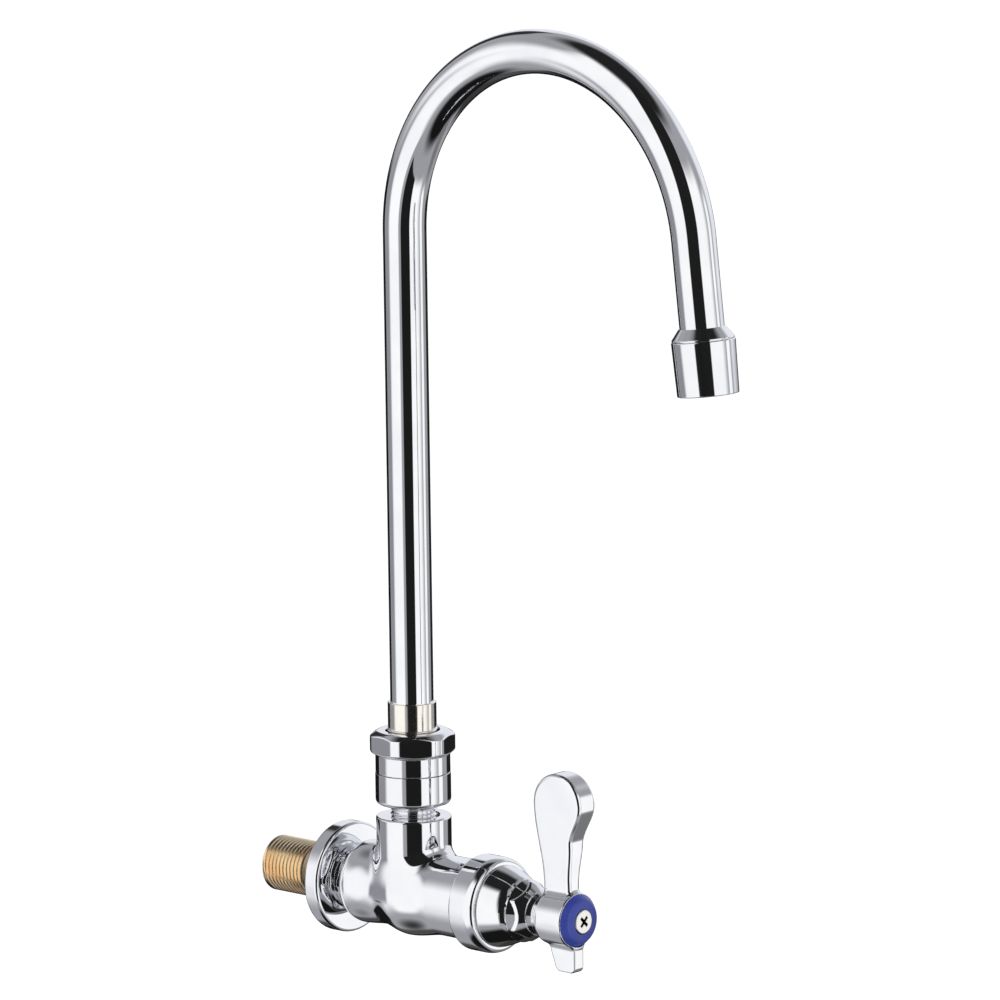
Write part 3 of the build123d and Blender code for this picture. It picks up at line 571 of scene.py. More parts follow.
def lathe(name, corners, turn, thread=None, steps=TURN_STEPS):
    """Ring-shaped solid turned from an outline of (place, radius, rounding) corners.

    turn is the matrix from the lathe's frame, with its axis along Z, to the object's.
    thread is (start, end, pitch, depth, fade length) of a helical groove on the outside."""
    segments = rounded(corners)
    if thread:
        segments = threaded(segments, thread)
    angles = np.arange(steps) * 2 * pi / steps
    around = np.stack((np.cos(angles), np.sin(angles)), axis=1)
    rings = []
    for start, _, _, _ in segments:
        radius = np.full(steps, start.y)
        if thread and thread[0] < start.x < thread[1]:
            radius = radius - thread_groove(start.x, angles, thread)[0]
        rings.append(np.column_stack((around * radius[:, None], np.full(steps, start.x))))
    points = np.array(rings)
    count = len(segments)
    faces = []
    normals = []
    here = np.arange(steps)
    ahead = (here + 1) % steps
    for i, (start, end, start_normal, end_normal) in enumerate(segments):
        low = i * steps
        high = (i + 1) % count * steps
        quad = np.stack((low + here, low + ahead, high + ahead, high + here), axis=1)
        cut = thread and thread[0] < max(start.x, end.x) and min(start.x, end.x) < thread[1]
        if cut and start_normal.y > OUTWARD:
            first = thread_normal(start, angles, thread)
            last = thread_normal(end, angles, thread)
        else:
            first = np.column_stack((around * start_normal.y, np.full(steps, start_normal.x)))
            last = np.column_stack((around * end_normal.y, np.full(steps, end_normal.x)))
        corner = np.stack((first, first[ahead], last[ahead], last), axis=1)
        faces.append(quad)
        normals.append(corner)
    faces = np.concatenate(faces)
    normals = np.concatenate(normals)
    points = points.reshape(-1, 3)
    return placed(name, points, faces, normals, turn)


def placed(name, points, faces, normals, turn):
    """Mesh in the object's frame, with its faces turned the way of their normals."""
    rotation = np.array(turn.to_3x3())
    points = points @ rotation.T + np.array(turn.translation)
    normals = normals @ rotation.T
    corners = points[faces]
    flat = np.cross(corners[:, 2] - corners[:, 0], corners[:, 3] - corners[:, 1])
    backwards = np.sum(flat * normals.mean(axis=1), axis=1) < 0
    faces[backwards] = faces[backwards, ::-1]
    normals[backwards] = normals[backwards, ::-1]
    return smooth_mesh(name, points, faces, normals.reshape(-1, 3))


def threaded(segments, thread):
    """The outline with its outer straight run cut into short steps along the thread."""
    start_place, end_place, pitch = thread[:3]
    cut = []
    for start, end, start_normal, end_normal in segments:
        low = min(start.x, end.x)
        high = max(start.x, end.x)
        if start_normal.y < STRAIGHT_OUT or high <= start_place or low >= end_place:
            cut.append((start, end, start_normal, end_normal))
            continue
        count = max(1, round((high - low) / pitch * THREAD_STEPS))
        stops = [start.lerp(end, step / count) for step in range(count + 1)]
        cut += [(one, other, start_normal, end_normal) for one, other in zip(stops, stops[1:])]
    return cut


def thread_groove(place, angles, thread):
    """Depth of a helical groove at a place along the axis, all round, and its steepness."""
    start, end, pitch, depth, fade = thread
    phase = 2 * pi * place / pitch - angles
    fading = max(0.0, min(1.0, (end - place) / fade, (place - start) / fade))
    return depth * fading * (1 - np.cos(phase)) / 2, depth * fading * np.sin(phase) / 2


def thread_normal(spot, angles, thread):
    """Normals of the threaded surface at a spot (place, radius) of its outline, all round."""
    steep = thread_groove(spot.x, angles, thread)[1]
    sideways = -steep / spot.y
    normal = np.column_stack(
        (
            np.cos(angles) - np.sin(angles) * sideways,
            np.sin(angles) + np.cos(angles) * sideways,
            steep * 2 * pi / thread[2],
        )
    )
    return normal / np.linalg.norm(normal, axis=1)[:, None]


def pipe(name, outer, inner, centres, outs, forwards):
    """Bent tube with its wall: rings around the path's centres, in the plane of X and outs."""
    angles = np.arange(PIPE_STEPS) * 2 * pi / PIPE_STEPS
    spokes = np.cos(angles)[None, :, None] * np.array((1.0, 0, 0)) + (
        np.sin(angles)[None, :, None] * outs[:, None, :]
    )
    outside = centres[:, None, :] + spokes * outer
    inside = centres[:, None, :] + spokes * inner
    rows = np.concatenate((outside, inside[::-1]))
    count = len(centres)
    here = np.arange(PIPE_STEPS)
    ahead = (here + 1) % PIPE_STEPS
    faces = []
    normals = []
    for row in range(2 * count):
        following = (row + 1) % (2 * count)
        low = row * PIPE_STEPS
        high = following * PIPE_STEPS
        faces.append(np.stack((low + here, low + ahead, high + ahead, high + here), axis=1))
        if row == count - 1:
            first = last = np.tile(forwards[-1], (PIPE_STEPS, 1))
        elif row == 2 * count - 1:
            first = last = np.tile(-forwards[0], (PIPE_STEPS, 1))
        elif row < count:
            first, last = spokes[row], spokes[row + 1]
        else:
            first = -spokes[2 * count - 1 - row]
            last = -spokes[2 * count - 2 - row]
        normals.append(np.stack((first, first[ahead], last[ahead], last), axis=1))
    points = rows.reshape(-1, 3)
    return placed(name, points, np.concatenate(faces), np.concatenate(normals), Matrix.Identity(4))


# ------------------------------ cast shapes
# A cast shape is given by a field of the place that is negative inside the metal and
# close to the distance from its surface, in mm.
def rounded_and(first, second, radius):
    """What two fields share, with a rounded edge."""
    inside = np.minimum(np.maximum(first, second), -radius)
    return inside + np.hypot(np.maximum(first + radius, 0), np.maximum(second + radius, 0))


def rounded_or(first, second, radius):
    """Two fields joined with a fillet between them."""
    outside = np.maximum(np.minimum(first, second), radius)
    return outside - np.hypot(np.maximum(radius - first, 0), np.maximum(radius - second, 0))


def eased(value, stops):
    """Smooth curve through (place, size) stops, level at each of them."""
    result = stops[0][1]
    for (start, low), (end, high) in zip(stops, stops[1:]):
        share = np.clip((value - start) / (end - start), 0, 1)
        result = result + (high - low) * share**2 * (3 - 2 * share)
    return result


def hexagon(first, second, apothem, radius, turn):
    """Hexagonal prism: turn is the angle from the first coordinate to a flat's middle."""
    flats = []
    for side in range(3):
        angle = radians(turn + 60 * side)
        flats.append(np.abs(first * cos(angle) + second * sin(angle)) - apothem)
    return rounded_and(rounded_and(flats[0], flats[1], radius), flats[2], radius)


def slope_of(field, points, reach=0.02):
    """A field and its gradient at each point."""
    columns = []
    for shift in np.eye(3) * reach:
        columns.append((field(*(points + shift).T) - field(*(points - shift).T)) / (2 * reach))
    return field(*points.T), np.stack(columns, axis=1)


def cast(name, field, low, high, cell):
    """Mesh of the surface where a field is zero, in the box between two corners in mm.

    One point in each cell that the surface crosses, drawn onto it and evened out."""
    low = np.array(low) - MARGIN
    high = np.array(high) + MARGIN
    counts = np.ceil((high - low) / cell).astype(int) + 1
    x, y, z = (low[axis] + cell * np.arange(counts[axis]) for axis in range(3))
    inside = field(x[:, None, None], y[None, :, None], z[None, None, :]) < 0
    filled = np.zeros(counts - 1, np.int8)
    for corner in product((0, 1), repeat=3):
        filled += inside[tuple(slice(c, c + n) for c, n in zip(corner, counts - 1))]
    mixed = (filled > 0) & (filled < 8)
    number = np.full(mixed.shape, -1)
    number[mixed] = np.arange(mixed.sum())
    points = low + (np.argwhere(mixed) + 0.5) * cell
    faces = []
    for axis in range(3):
        one = np.eye(3, dtype=int)[(axis + 1) % 3]
        other = np.eye(3, dtype=int)[(axis + 2) % 3]
        lower = np.take(inside, range(counts[axis] - 1), axis)
        upper = np.take(inside, range(1, counts[axis]), axis)
        crossing = np.argwhere(lower != upper)
        leaving = lower[tuple(crossing.T)]
        around = (crossing - one - other, crossing - other, crossing, crossing - one)
        quads = np.stack([number[tuple(place.T)] for place in around], axis=1)
        quads[~leaving] = quads[~leaving, ::-1]
        faces.append(quads)
    faces = np.concatenate(faces)
    neighbours = np.concatenate([faces[:, [i, (i + 1) % 4]] for i in range(4)])
    degree = np.bincount(neighbours[:, 0], minlength=len(points))
    for _ in range(EVENING_ROUNDS):
        for axis in range(3):
            total = np.bincount(neighbours[:, 0], points[neighbours[:, 1], axis], len(points))
            points[:, axis] = (points[:, axis] + total / degree) / 2
        for _ in range(2):
            level, slope = slope_of(field, points)
            pull = level / np.maximum(np.sum(slope**2, axis=1), LEAST_SLOPE)
            points -= slope * np.clip(pull, -cell, cell)[:, None]
    slope = slope_of(field, points)[1]
    normals = slope / np.linalg.norm(slope, axis=1)[:, None]
    return smooth_mesh(name, points, faces, normals[faces.ravel()])


# lathe frames: along the body towards the lever, and up the swivel axis
along_body = Matrix(((1, 0, 0, 0), (0, 0, -1, 0), (0, 1, 0, 0), (0, 0, 0, 1)))
up_swivel = Matrix.Translation((0, -SWIVEL, 0))

# frame of the outlet leg: its origin is the end of the bend, its Z goes down the leg
leg_down = Vector((0, -sin(BEND_TURN), cos(BEND_TURN)))
leg_across = Vector((1, 0, 0))
bend_end = Vector(
    (
        0,
        -SWIVEL - BEND_RADIUS * (1 - cos(BEND_TURN)),
        RISER_TOP + BEND_RADIUS * sin(BEND_TURN),
    )
)
down_leg = Matrix((leg_across, leg_down.cross(leg_across), leg_down)).transposed().to_4x4()
down_leg = Matrix.Translation(bend_end) @ down_leg

# ============================== wall end
flange_corners = [
    (0, FLANGE_RADIUS - FLANGE_RIM, BORE_EDGE),
    (0, FLANGE_RADIUS, FLANGE_EDGE),
    (FLANGE_FRONT, FLANGE_RADIUS, FLANGE_EDGE),
    (FLANGE_FRONT, SHANK_RADIUS + SHANK_CLEAR, 0),
    (FLANGE_FRONT - FLANGE_WEB, SHANK_RADIUS + SHANK_CLEAR, 0),
    (FLANGE_FRONT - FLANGE_WEB, FLANGE_RADIUS - FLANGE_RIM, FLANGE_CORNER),
]
dress("wall_flange", lathe("wall_flange", flange_corners, along_body))

thread_start = PIPE_END - PIPE_TURNS * PIPE_PITCH
nipple_corners = [
    (-SOCKET_FRONT, SHANK_RADIUS, 0),
    (thread_start - PIPE_SHOULDER, SHANK_RADIUS, BORE_EDGE),
    (thread_start, PIPE_RADIUS, 0),
    (PIPE_END - PIPE_LEAD, PIPE_RADIUS, 0),
    (PIPE_END, PIPE_RADIUS - PIPE_LEAD, BROKEN_EDGE),
    (PIPE_END, INLET_BORE, BORE_EDGE),
    (-SOCKET_FRONT, INLET_BORE, 0),
]
towards_wall = Matrix(((1, 0, 0, 0), (0, 0, 1, 0), (0, -1, 0, 0), (0, 0, 0, 1)))
pipe_thread = (thread_start, PIPE_END - PIPE_LEAD, PIPE_PITCH, PIPE_DEPTH, PIPE_PITCH / 2)
dress("inlet_nipple", lathe("inlet_nipple", nipple_corners, towards_wall, pipe_thread))


# ============================== body casting
def body_field(x, y, z):
    """Cast body: a globe with a hexagonal end, barrel, collar and upright boss, hollow inside."""
    forward = -y
    across = np.hypot(x, z)
    # hexagonal end, the globe's round shoulder, waist and barrel
    globe = BARREL[0][0]
    end = hexagon(x, z, WRENCH_APOTHEM, WRENCH_ROUND, WRENCH_TURN)
    end = rounded_and(end, np.maximum(WRENCH_REAR - forward, forward - globe), WRENCH_EDGE)
    share = np.clip((forward - WRENCH_FRONT) / (globe - WRENCH_FRONT), 0, 1)
    shoulder = SHOULDER * (1 - np.sqrt(share * (2 - share)))
    turned = np.maximum(across - eased(forward, BARREL) + shoulder, WRENCH_FRONT - forward)
    turned = rounded_or(turned, end, SHOULDER_FILLET)
    turned = np.maximum(turned, forward - COLLAR_REAR - CAST_EDGE)
    spigot = np.maximum(across - SPIGOT, np.maximum(FLANGE_FRONT - forward, forward - globe))
    turned = rounded_or(turned, spigot, SPIGOT_FILLET)
    # collar with its crowned front
    into = np.clip(forward - (COLLAR_FRONT - COLLAR_CROWN), 0, COLLAR_CROWN)
    crown = COLLAR_CROWN_RADIUS - np.sqrt(COLLAR_CROWN_RADIUS**2 - into**2)
    collar = rounded_and(across - COLLAR_RADIUS + crown, COLLAR_REAR - forward, CAST_EDGE)
    collar = rounded_and(collar, forward - COLLAR_FRONT, COLLAR_EDGE)
    turned = rounded_or(turned, collar, COLLAR_FILLET)
    # upright boss
    from_swivel = np.hypot(x, forward - SWIVEL)
    boss = rounded_and(from_swivel - BOSS_RADIUS, z - BOSS_TOP, CAST_EDGE)
    boss = np.maximum(boss, -z)
    metal = rounded_or(turned, boss, BOSS_FILLET)
    # sockets and waterways
    socket = np.maximum(from_swivel - BOSS_SOCKET, BOSS_FLOOR - z)
    sink = (from_swivel - BOSS_SOCKET - BOSS_SINK + BOSS_TOP - z) * DIAGONAL
    opening = np.minimum(socket, np.maximum(sink, BOSS_FLOOR - z))
    metal = rounded_and(metal, -opening, BORE_EDGE)
    metal = np.maximum(metal, -np.maximum(from_swivel - WATERWAY, -z))
    for radius, start, stop in (
        (SHANK_RADIUS + THREAD_GAP, 0, SOCKET_FRONT),
        (WATERWAY, 0, SEAT + MARGIN),
        (CHAMBER, SEAT, STEP + MARGIN),
        (COLLAR_BORE, STEP, COLLAR_FRONT + MARGIN),
    ):
        bore = np.maximum(across - radius, np.maximum(start - forward, forward - stop))
        metal = np.maximum(metal, -bore)
    return metal


body_mesh = cast(
    "faucet_body",
    body_field,
    (-COLLAR_RADIUS, -COLLAR_FRONT, -COLLAR_RADIUS),
    (COLLAR_RADIUS, -FLANGE_FRONT, BOSS_TOP),
    BODY_CELL,
)
dress("faucet_body", body_mesh)

# ============================== swivel and spout nut
housing_corners = [
    (SPIGOT_BOTTOM, HOUSING_PORT, 0),
    (SPIGOT_BOTTOM, SPIGOT_THREAD, BORE_EDGE),
    (HOUSING_BOTTOM, SPIGOT_THREAD, 0),
    (HOUSING_BOTTOM, HOUSING_RADIUS, HOUSING_ROUND),
    (HOUSING_TOP, HOUSING_RADIUS, BROKEN_EDGE),
    (HOUSING_TOP, CUP_THREAD, 0),
    (CUP_RIM, CUP_THREAD, RIM_EDGE),
    (CUP_RIM, CUP_BORE, RIM_EDGE),
    (CUP_FLOOR, CUP_BORE, 0),
    (CUP_FLOOR, HOUSING_PORT, 0),
]
spigot_thread = (
    HOUSING_BOTTOM - SPIGOT_TURNS * SPIGOT_PITCH,
    HOUSING_BOTTOM - SPIGOT_RELIEF,
    SPIGOT_PITCH,
    SPIGOT_DEPTH,
    SPIGOT_PITCH / 2,
)
dress("swivel_housing", lathe("swivel_housing", housing_corners, up_swivel, spigot_thread))


def nut_field(x, y, z):
    """Hexagon nut with turned corners and slanted faces on a round skirt."""
    forward = -y - SWIVEL
    across = np.hypot(x, forward)
    flats = hexagon(x, -forward, NUT_APOTHEM, NUT_EDGE, NUT_TURN)
    steepness = sqrt(1 + NUT_SLOPE**2)
    top = (z - NUT_TOP + (across - NUT_FACE) * NUT_SLOPE) / steepness
    bottom = (NUT_BOTTOM - z + (across - SKIRT_RADIUS) * NUT_SLOPE) / steepness
    head = rounded_and(flats, across - NUT_CORNER, NUT_EDGE)
    head = rounded_and(head, top, NUT_EDGE)
    head = rounded_and(head, bottom, NUT_EDGE)
    head = rounded_and(head, z - NUT_TOP, NUT_EDGE)
    skirt = rounded_and(across - SKIRT_RADIUS, SKIRT_BOTTOM - z, RIM_EDGE)
    skirt = np.maximum(skirt, z - NUT_BOTTOM - MARGIN)
    metal = np.minimum(head, skirt)
    metal = rounded_and(metal, NUT_BORE - across, NUT_MOUTH)
    return np.maximum(metal, -np.maximum(across - NUT_THREAD, z - NUT_LIP))


nut_mesh = cast(
    "spout_nut",
    nut_field,
    (-NUT_CORNER, -SWIVEL - NUT_CORNER, SKIRT_BOTTOM),
    (NUT_CORNER, -SWIVEL + NUT_CORNER, NUT_TOP),
    NUT_CELL,
)
dress("spout_nut", nut_mesh)

# ============================== spout
ferrule_corners = [
    (FERRULE_BOTTOM, TUBE_RADIUS - TUBE_WALL, 0),
    (FERRULE_BOTTOM, FERRULE_LAND, RIM_EDGE),
    (FERRULE_LAND_TOP, FERRULE_LAND, RIM_EDGE),
    (FERRULE_LAND_TOP, FERRULE_RADIUS, 0),
    (BEAD_BOTTOM, FERRULE_RADIUS, FINE_EDGE),
    (BEAD_BOTTOM, BEAD_RADIUS, BEAD_EDGE),
    (BEAD_BOTTOM + BEAD_HEIGHT, BEAD_RADIUS, BEAD_EDGE),
    (BEAD_BOTTOM + BEAD_HEIGHT, FERRULE_RADIUS, FINE_EDGE),
    (FERRULE_TOP, FERRULE_RADIUS, FERRULE_EDGE),
    (FERRULE_TOP, TUBE_RADIUS + TUBE_GAP, 0),
    (FERRULE_BOTTOM + FERRULE_LEDGE, TUBE_RADIUS + TUBE_GAP, 0),
    (FERRULE_BOTTOM + FERRULE_LEDGE, TUBE_RADIUS - TUBE_WALL, 0),
]
dress("spout_ferrule", lathe("spout_ferrule", ferrule_corners, up_swivel))


def spout_path():
    """Centres of the tube's rings, with their outward and forward directions."""
    centres = []
    turns = []
    for share in np.linspace(0, 1, 24):
        centres.append((0, -SWIVEL, TUBE_BOTTOM + share * (RISER_TOP - TUBE_BOTTOM)))
        turns.append(0)
    for share in np.linspace(0, 1, 97)[1:]:
        turn = share * BEND_TURN
        forward = SWIVEL + BEND_RADIUS * (1 - cos(turn))
        centres.append((0, -forward, RISER_TOP + BEND_RADIUS * sin(turn)))
        turns.append(turn)
    for share in np.linspace(0, 1, 6)[1:]:
        centres.append(bend_end + leg_down * TUBE_TAIL * share)
        turns.append(BEND_TURN)
    outs = np.array([(0, cos(turn), sin(turn)) for turn in turns])
    forwards = np.array([(0, -sin(turn), cos(turn)) for turn in turns])
    return np.array(centres), outs, forwards


tube_mesh = pipe("spout_tube", TUBE_RADIUS, TUBE_RADIUS - TUBE_WALL, *spout_path())
dress("spout_tube", tube_mesh)

cone_corners = [
    (CONE_TOP, TUBE_RADIUS + TUBE_GAP, 0),
    (CONE_TOP, CONE_SMALL, FINE_EDGE),
    (CONE_BOTTOM - CONE_LIP, CONE_LARGE, CONE_EDGE),
    (CONE_BOTTOM, CONE_LARGE, BROKEN_EDGE),
    (CONE_BOTTOM, OUTLET_THREAD, 0),
    (OUTLET_END, OUTLET_THREAD, BORE_EDGE),
    (OUTLET_END, TUBE_RADIUS - TUBE_WALL, 0),
    (TUBE_TAIL, TUBE_RADIUS - TUBE_WALL, 0),
    (TUBE_TAIL, TUBE_RADIUS + TUBE_GAP, 0),
]
dress("outlet_adapter", lathe("outlet_adapter", cone_corners, down_leg))

shell_corners = [
    (SHELL_TOP, OUTLET_THREAD + THREAD_GAP, 0),
    (SHELL_TOP, SHELL_TOP_RADIUS, SHELL_EDGE),
    (SHELL_BOTTOM, SHELL_BOTTOM_RADIUS, SHELL_EDGE),
    (SHELL_BOTTOM, MOUTH_RADIUS, MOUTH_EDGE),
    (MOUTH_TOP, MOUTH_RADIUS, 0),
    (MOUTH_TOP, SHELL_SEAT, 0),
    (OUTLET_END + SHELL_GAP, SHELL_SEAT, 0),
    (OUTLET_END + SHELL_GAP, OUTLET_THREAD + THREAD_GAP, 0),
]
dress("aerator_shell", lathe("aerator_shell", shell_corners, down_leg))


def woven_screen():
    """Wire cloth in the aerator: two sets of wires that pass over and under each other."""
    rim_corners = [
        (SCREEN_TOP, MOUTH_RADIUS, FINE_EDGE),
        (SCREEN_TOP, SCREEN_RADIUS, FINE_EDGE),
        (SCREEN_TOP + SCREEN_THICKNESS, SCREEN_RADIUS, FINE_EDGE),
        (SCREEN_TOP + SCREEN_THICKNESS, MOUTH_RADIUS, FINE_EDGE),
    ]
    rim = lathe("aerator_screen", rim_corners, Matrix.Identity(4), steps=PIPE_STEPS)
    shape = bmesh.new()
    shape.from_mesh(rim)
    middle = SCREEN_TOP + SCREEN_THICKNESS / 2
    count = int(MOUTH_RADIUS / WIRE_PITCH)
    for number in range(-count, count + 1):
        offset = number * WIRE_PITCH
        half = sqrt((MOUTH_RADIUS + WIRE_TUCK) ** 2 - offset**2)
        steps = max(4, round(2 * half / WIRE_PITCH * 4))
        for way in (0, 1):
            rings = []
            for step in range(steps + 1):
                place = -half + 2 * half * step / steps
                wave = WIRE_RADIUS * cos(pi * (place / WIRE_PITCH + number + way))
                ring = []
                for side in range(WIRE_SIDES):
                    angle = 2 * pi * side / WIRE_SIDES
                    along = offset + WIRE_RADIUS * cos(angle)
                    height = middle + wave + WIRE_RADIUS * sin(angle)
                    spot = (place, along, height) if way == 0 else (along, place, height)
                    ring.append(shape.verts.new(spot))
                rings.append(ring)
            for one, other in zip(rings, rings[1:]):
                for side in range(WIRE_SIDES):
                    beyond = (side + 1) % WIRE_SIDES
                    face = shape.faces.new((one[side], one[beyond], other[beyond], other[side]))
                    face.smooth = True
            shape.faces.new(rings[0])
            shape.faces.new(rings[-1])
    bmesh.ops.recalc_face_normals(shape, faces=shape.faces)
    mesh = bpy.data.meshes.new("aerator_screen")
    shape.to_mesh(mesh)
    shape.free()
    mesh.transform(down_leg)
    return mesh


dress("aerator_screen", woven_screen())


# ============================== bonnet
def bonnet_field(x, y, z):
    """Swelling dome with a groove behind it, a small hexagon, a tapered neck and its cavity."""
    forward = -y
    across = np.hypot(x, z)
    share = np.clip((forward - GROOVE_FRONT) / (DOME_FRONT - GROOVE_FRONT), 0, 1)
    dome_radius = DOME_ROOT + (DOME_TIP - DOME_ROOT) * share + DOME_SWELL * 4 * share * (1 - share)
    dome = rounded_and(across - dome_radius, GROOVE_FRONT - forward, DOME_ROUND)
    dome = rounded_and(dome, forward - DOME_FRONT, DOME_NOSE)
    groove_floor = np.maximum(across - GROOVE_RADIUS, COLLAR_FRONT - forward)
    shank = np.maximum(across - BONNET_SHANK, BONNET_REAR - forward)
    behind = np.maximum(np.minimum(groove_floor, shank), forward - GROOVE_FRONT - DOME_ROUND)
    metal = np.minimum(dome, behind)
    flats = hexagon(x, z, BONNET_APOTHEM, BONNET_EDGE, 0)
    slant = across - BONNET_FACE + (forward - BONNET_HEX_FRONT) / BONNET_SLOPE
    front = slant / sqrt(1 + BONNET_SLOPE**-2)
    head = rounded_and(flats, front, BONNET_EDGE)
    head = rounded_and(head, forward - BONNET_HEX_FRONT, BONNET_EDGE)
    head = np.maximum(head, DOME_FRONT - MARGIN - forward)
    metal = rounded_or(metal, head, BONNET_FILLET)
    narrowing = (BONNET_FRONT - forward) * BONNET_NECK_DROP
    taper = (across - BONNET_NECK - narrowing) / sqrt(1 + BONNET_NECK_DROP**2)
    neck = rounded_and(taper, forward - BONNET_FRONT, RIM_EDGE)
    metal = np.minimum(metal, np.maximum(neck, DOME_FRONT - forward))
    cavity = np.maximum(across - BONNET_CAVITY, forward - BONNET_CAVITY_FRONT)
    metal = np.maximum(metal, -cavity)
    return np.maximum(metal, BONNET_BORE - across)


bonnet_mesh = cast(
    "bonnet",
    bonnet_field,
    (-DOME_ROOT, -BONNET_FRONT, -DOME_ROOT),
    (DOME_ROOT, -BONNET_REAR, DOME_ROOT),
    BONNET_CELL,
)
dress("bonnet", bonnet_mesh)


# ============================== lever
def lever_field(x, y, z):
    """Wing lever: a hub with an upright blade, a short tail and its bores."""
    forward = -y
    across = np.hypot(x, z)
    # blade: its side outline, then its thickness
    straight = np.maximum(
        eased(z, BLADE_REAR_EDGE) - forward,
        forward - eased(z, BLADE_FRONT_EDGE),
    )
    head = np.hypot(forward - BLADE_FORWARD, z - BLADE_MIDDLE) - BLADE_RADIUS
    outline = np.where(z > BLADE_MIDDLE, head, straight)
    half = eased(z, ((NECK_EVEN, NECK_HALF), (BLADE_MIDDLE, BLADE_HALF)))
    blade = rounded_and(outline, np.abs(x) - half, BLADE_ROUND)
    blade = np.maximum(blade, -z)
    # tail
    tail = np.maximum(eased(z, TAIL_REAR) - forward, forward - TAIL_FRONT)
    tail = rounded_and(tail, TAIL_BOTTOM - z, TAIL_CORNER)
    tail = rounded_and(tail, np.abs(x) - TAIL_HALF, TAIL_ROUND)
    tail = np.maximum(tail, z)
    # hub
    hub = rounded_and(across - eased(forward, HUB_PROFILE), forward - HUB_FRONT, HUB_EDGE)
    hub = rounded_and(hub, HUB_REAR - forward, HUB_REAR_EDGE)
    metal = rounded_or(hub, np.minimum(blade, tail), BLADE_FILLET)
    # spline bore, hole for the screw and seat of the index ring
    bore = np.maximum(across - HUB_BORE, forward - HUB_WEB_REAR)
    seat = np.maximum(across - RING_BORE, RING_SEAT - forward)
    hollow = np.minimum(np.minimum(bore, across - HUB_SCREW), seat)
    return rounded_and(metal, -hollow, BROKEN_EDGE)


hub_radius = HUB_PROFILE[-1][1]
lever_mesh = cast(
    "lever_handle",
    lever_field,
    (-hub_radius, -BLADE_FORWARD - BLADE_RADIUS, TAIL_BOTTOM),
    (hub_radius, -BLADE_FORWARD + BLADE_RADIUS, BLADE_TOP),
    LEVER_CELL,
)
dress("lever_handle", lever_mesh)

ring_corners = [
    (RING_SEAT, HUB_SCREW, 0),
    (RING_SEAT, RING_RADIUS, BROKEN_EDGE),
    (HUB_FRONT, RING_RADIUS, RING_EDGE),
    (RING_FRONT - RING_CROWN_DROP, RING_CROWN, RING_CROWN_ROUND),
    (RING_FRONT, RING_LIP, RING_LIP_ROUND),
    (RING_FRONT, HEAD_POCKET, BROKEN_EDGE),
    (SCREW_FRONT - SCREW_HEAD_HEIGHT, HEAD_POCKET, 0),
    (SCREW_FRONT - SCREW_HEAD_HEIGHT, HUB_SCREW, 0),
]
dress("index_ring", lathe("index_ring", ring_corners, along_body))


def screw_field(x, y, z):
    """Pan-head screw with a cross recess turned by 45 degrees."""
    forward = -y
    across = np.hypot(x, z)
    head = rounded_and(across - SCREW_HEAD, forward - SCREW_FRONT, SCREW_ROUND)
    head = rounded_and(head, SCREW_FRONT - SCREW_HEAD_HEIGHT - forward, FINE_EDGE)
    shank = rounded_and(across - SCREW_SHANK, SCREW_REAR - forward, BORE_EDGE)
    shank = np.maximum(shank, forward - SCREW_FRONT + CROSS_DEPTH + SCREW_REST)
    metal = np.minimum(head, shank)
    one = np.abs(x + z) * DIAGONAL
    other = np.abs(x - z) * DIAGONAL
    width = CROSS_WIDTH + CROSS_TAPER * (forward - SCREW_FRONT)
    first = np.maximum(one - width, other - CROSS_HALF)
    second = np.maximum(other - width, one - CROSS_HALF)
    cross = rounded_or(first, second, CROSS_FILLET)
    slots = np.maximum(cross, SCREW_FRONT - CROSS_DEPTH - forward)
    return rounded_and(metal, -slots, CROSS_EDGE)


def recess_painted_shade():
    """The screw's steel, with painted shade that darkens the inside of its cross recess."""
    material = metal("screw_steel_painted_shade", **STEEL_LOOK)
    kit = Nodes(material.node_tree, keep=True)
    shader = material.node_tree.nodes["Principled BSDF"]
    place = kit.add("ShaderNodeSeparateXYZ")
    kit.link(kit.add("ShaderNodeTexCoord").outputs["Object"], place.inputs[0])
    x, y, z = place.outputs
    squares = kit.math("ADD", kit.math("POWER", x, 2), kit.math("POWER", z, 2))
    across = kit.math("SQRT", squares)
    depth = CROSS_SHADE - SCREW_FRONT
    painted_shade_depth = kit.ramp(y, (depth - CROSS_SHADE_SOFT) * MM, (depth + CROSS_SHADE_SOFT) * MM)
    painted_shade_reach = kit.ramp(across, CROSS_HALF * MM, (CROSS_HALF + CROSS_SHADE_RIM) * MM, low=1.0, high=0.0)
    bright = shader.inputs["Base Color"].links[0].from_socket
    # painted shade: near-black colour fills the cross recess where shade falls
    colour = kit.mix(kit.math("MULTIPLY", painted_shade_depth, painted_shade_reach), bright, grey(18))
    kit.link(colour, shader.inputs["Base Color"])
    return material


screw_mesh = cast(
    "handle_screw",
    screw_field,
    (-SCREW_HEAD, -SCREW_FRONT, -SCREW_HEAD),
    (SCREW_HEAD, -SCREW_REAR, SCREW_HEAD),
    SCREW_CELL,
)
screw = dress("handle_screw", screw_mesh)
screw.material_slots[0].material = recess_painted_shade()

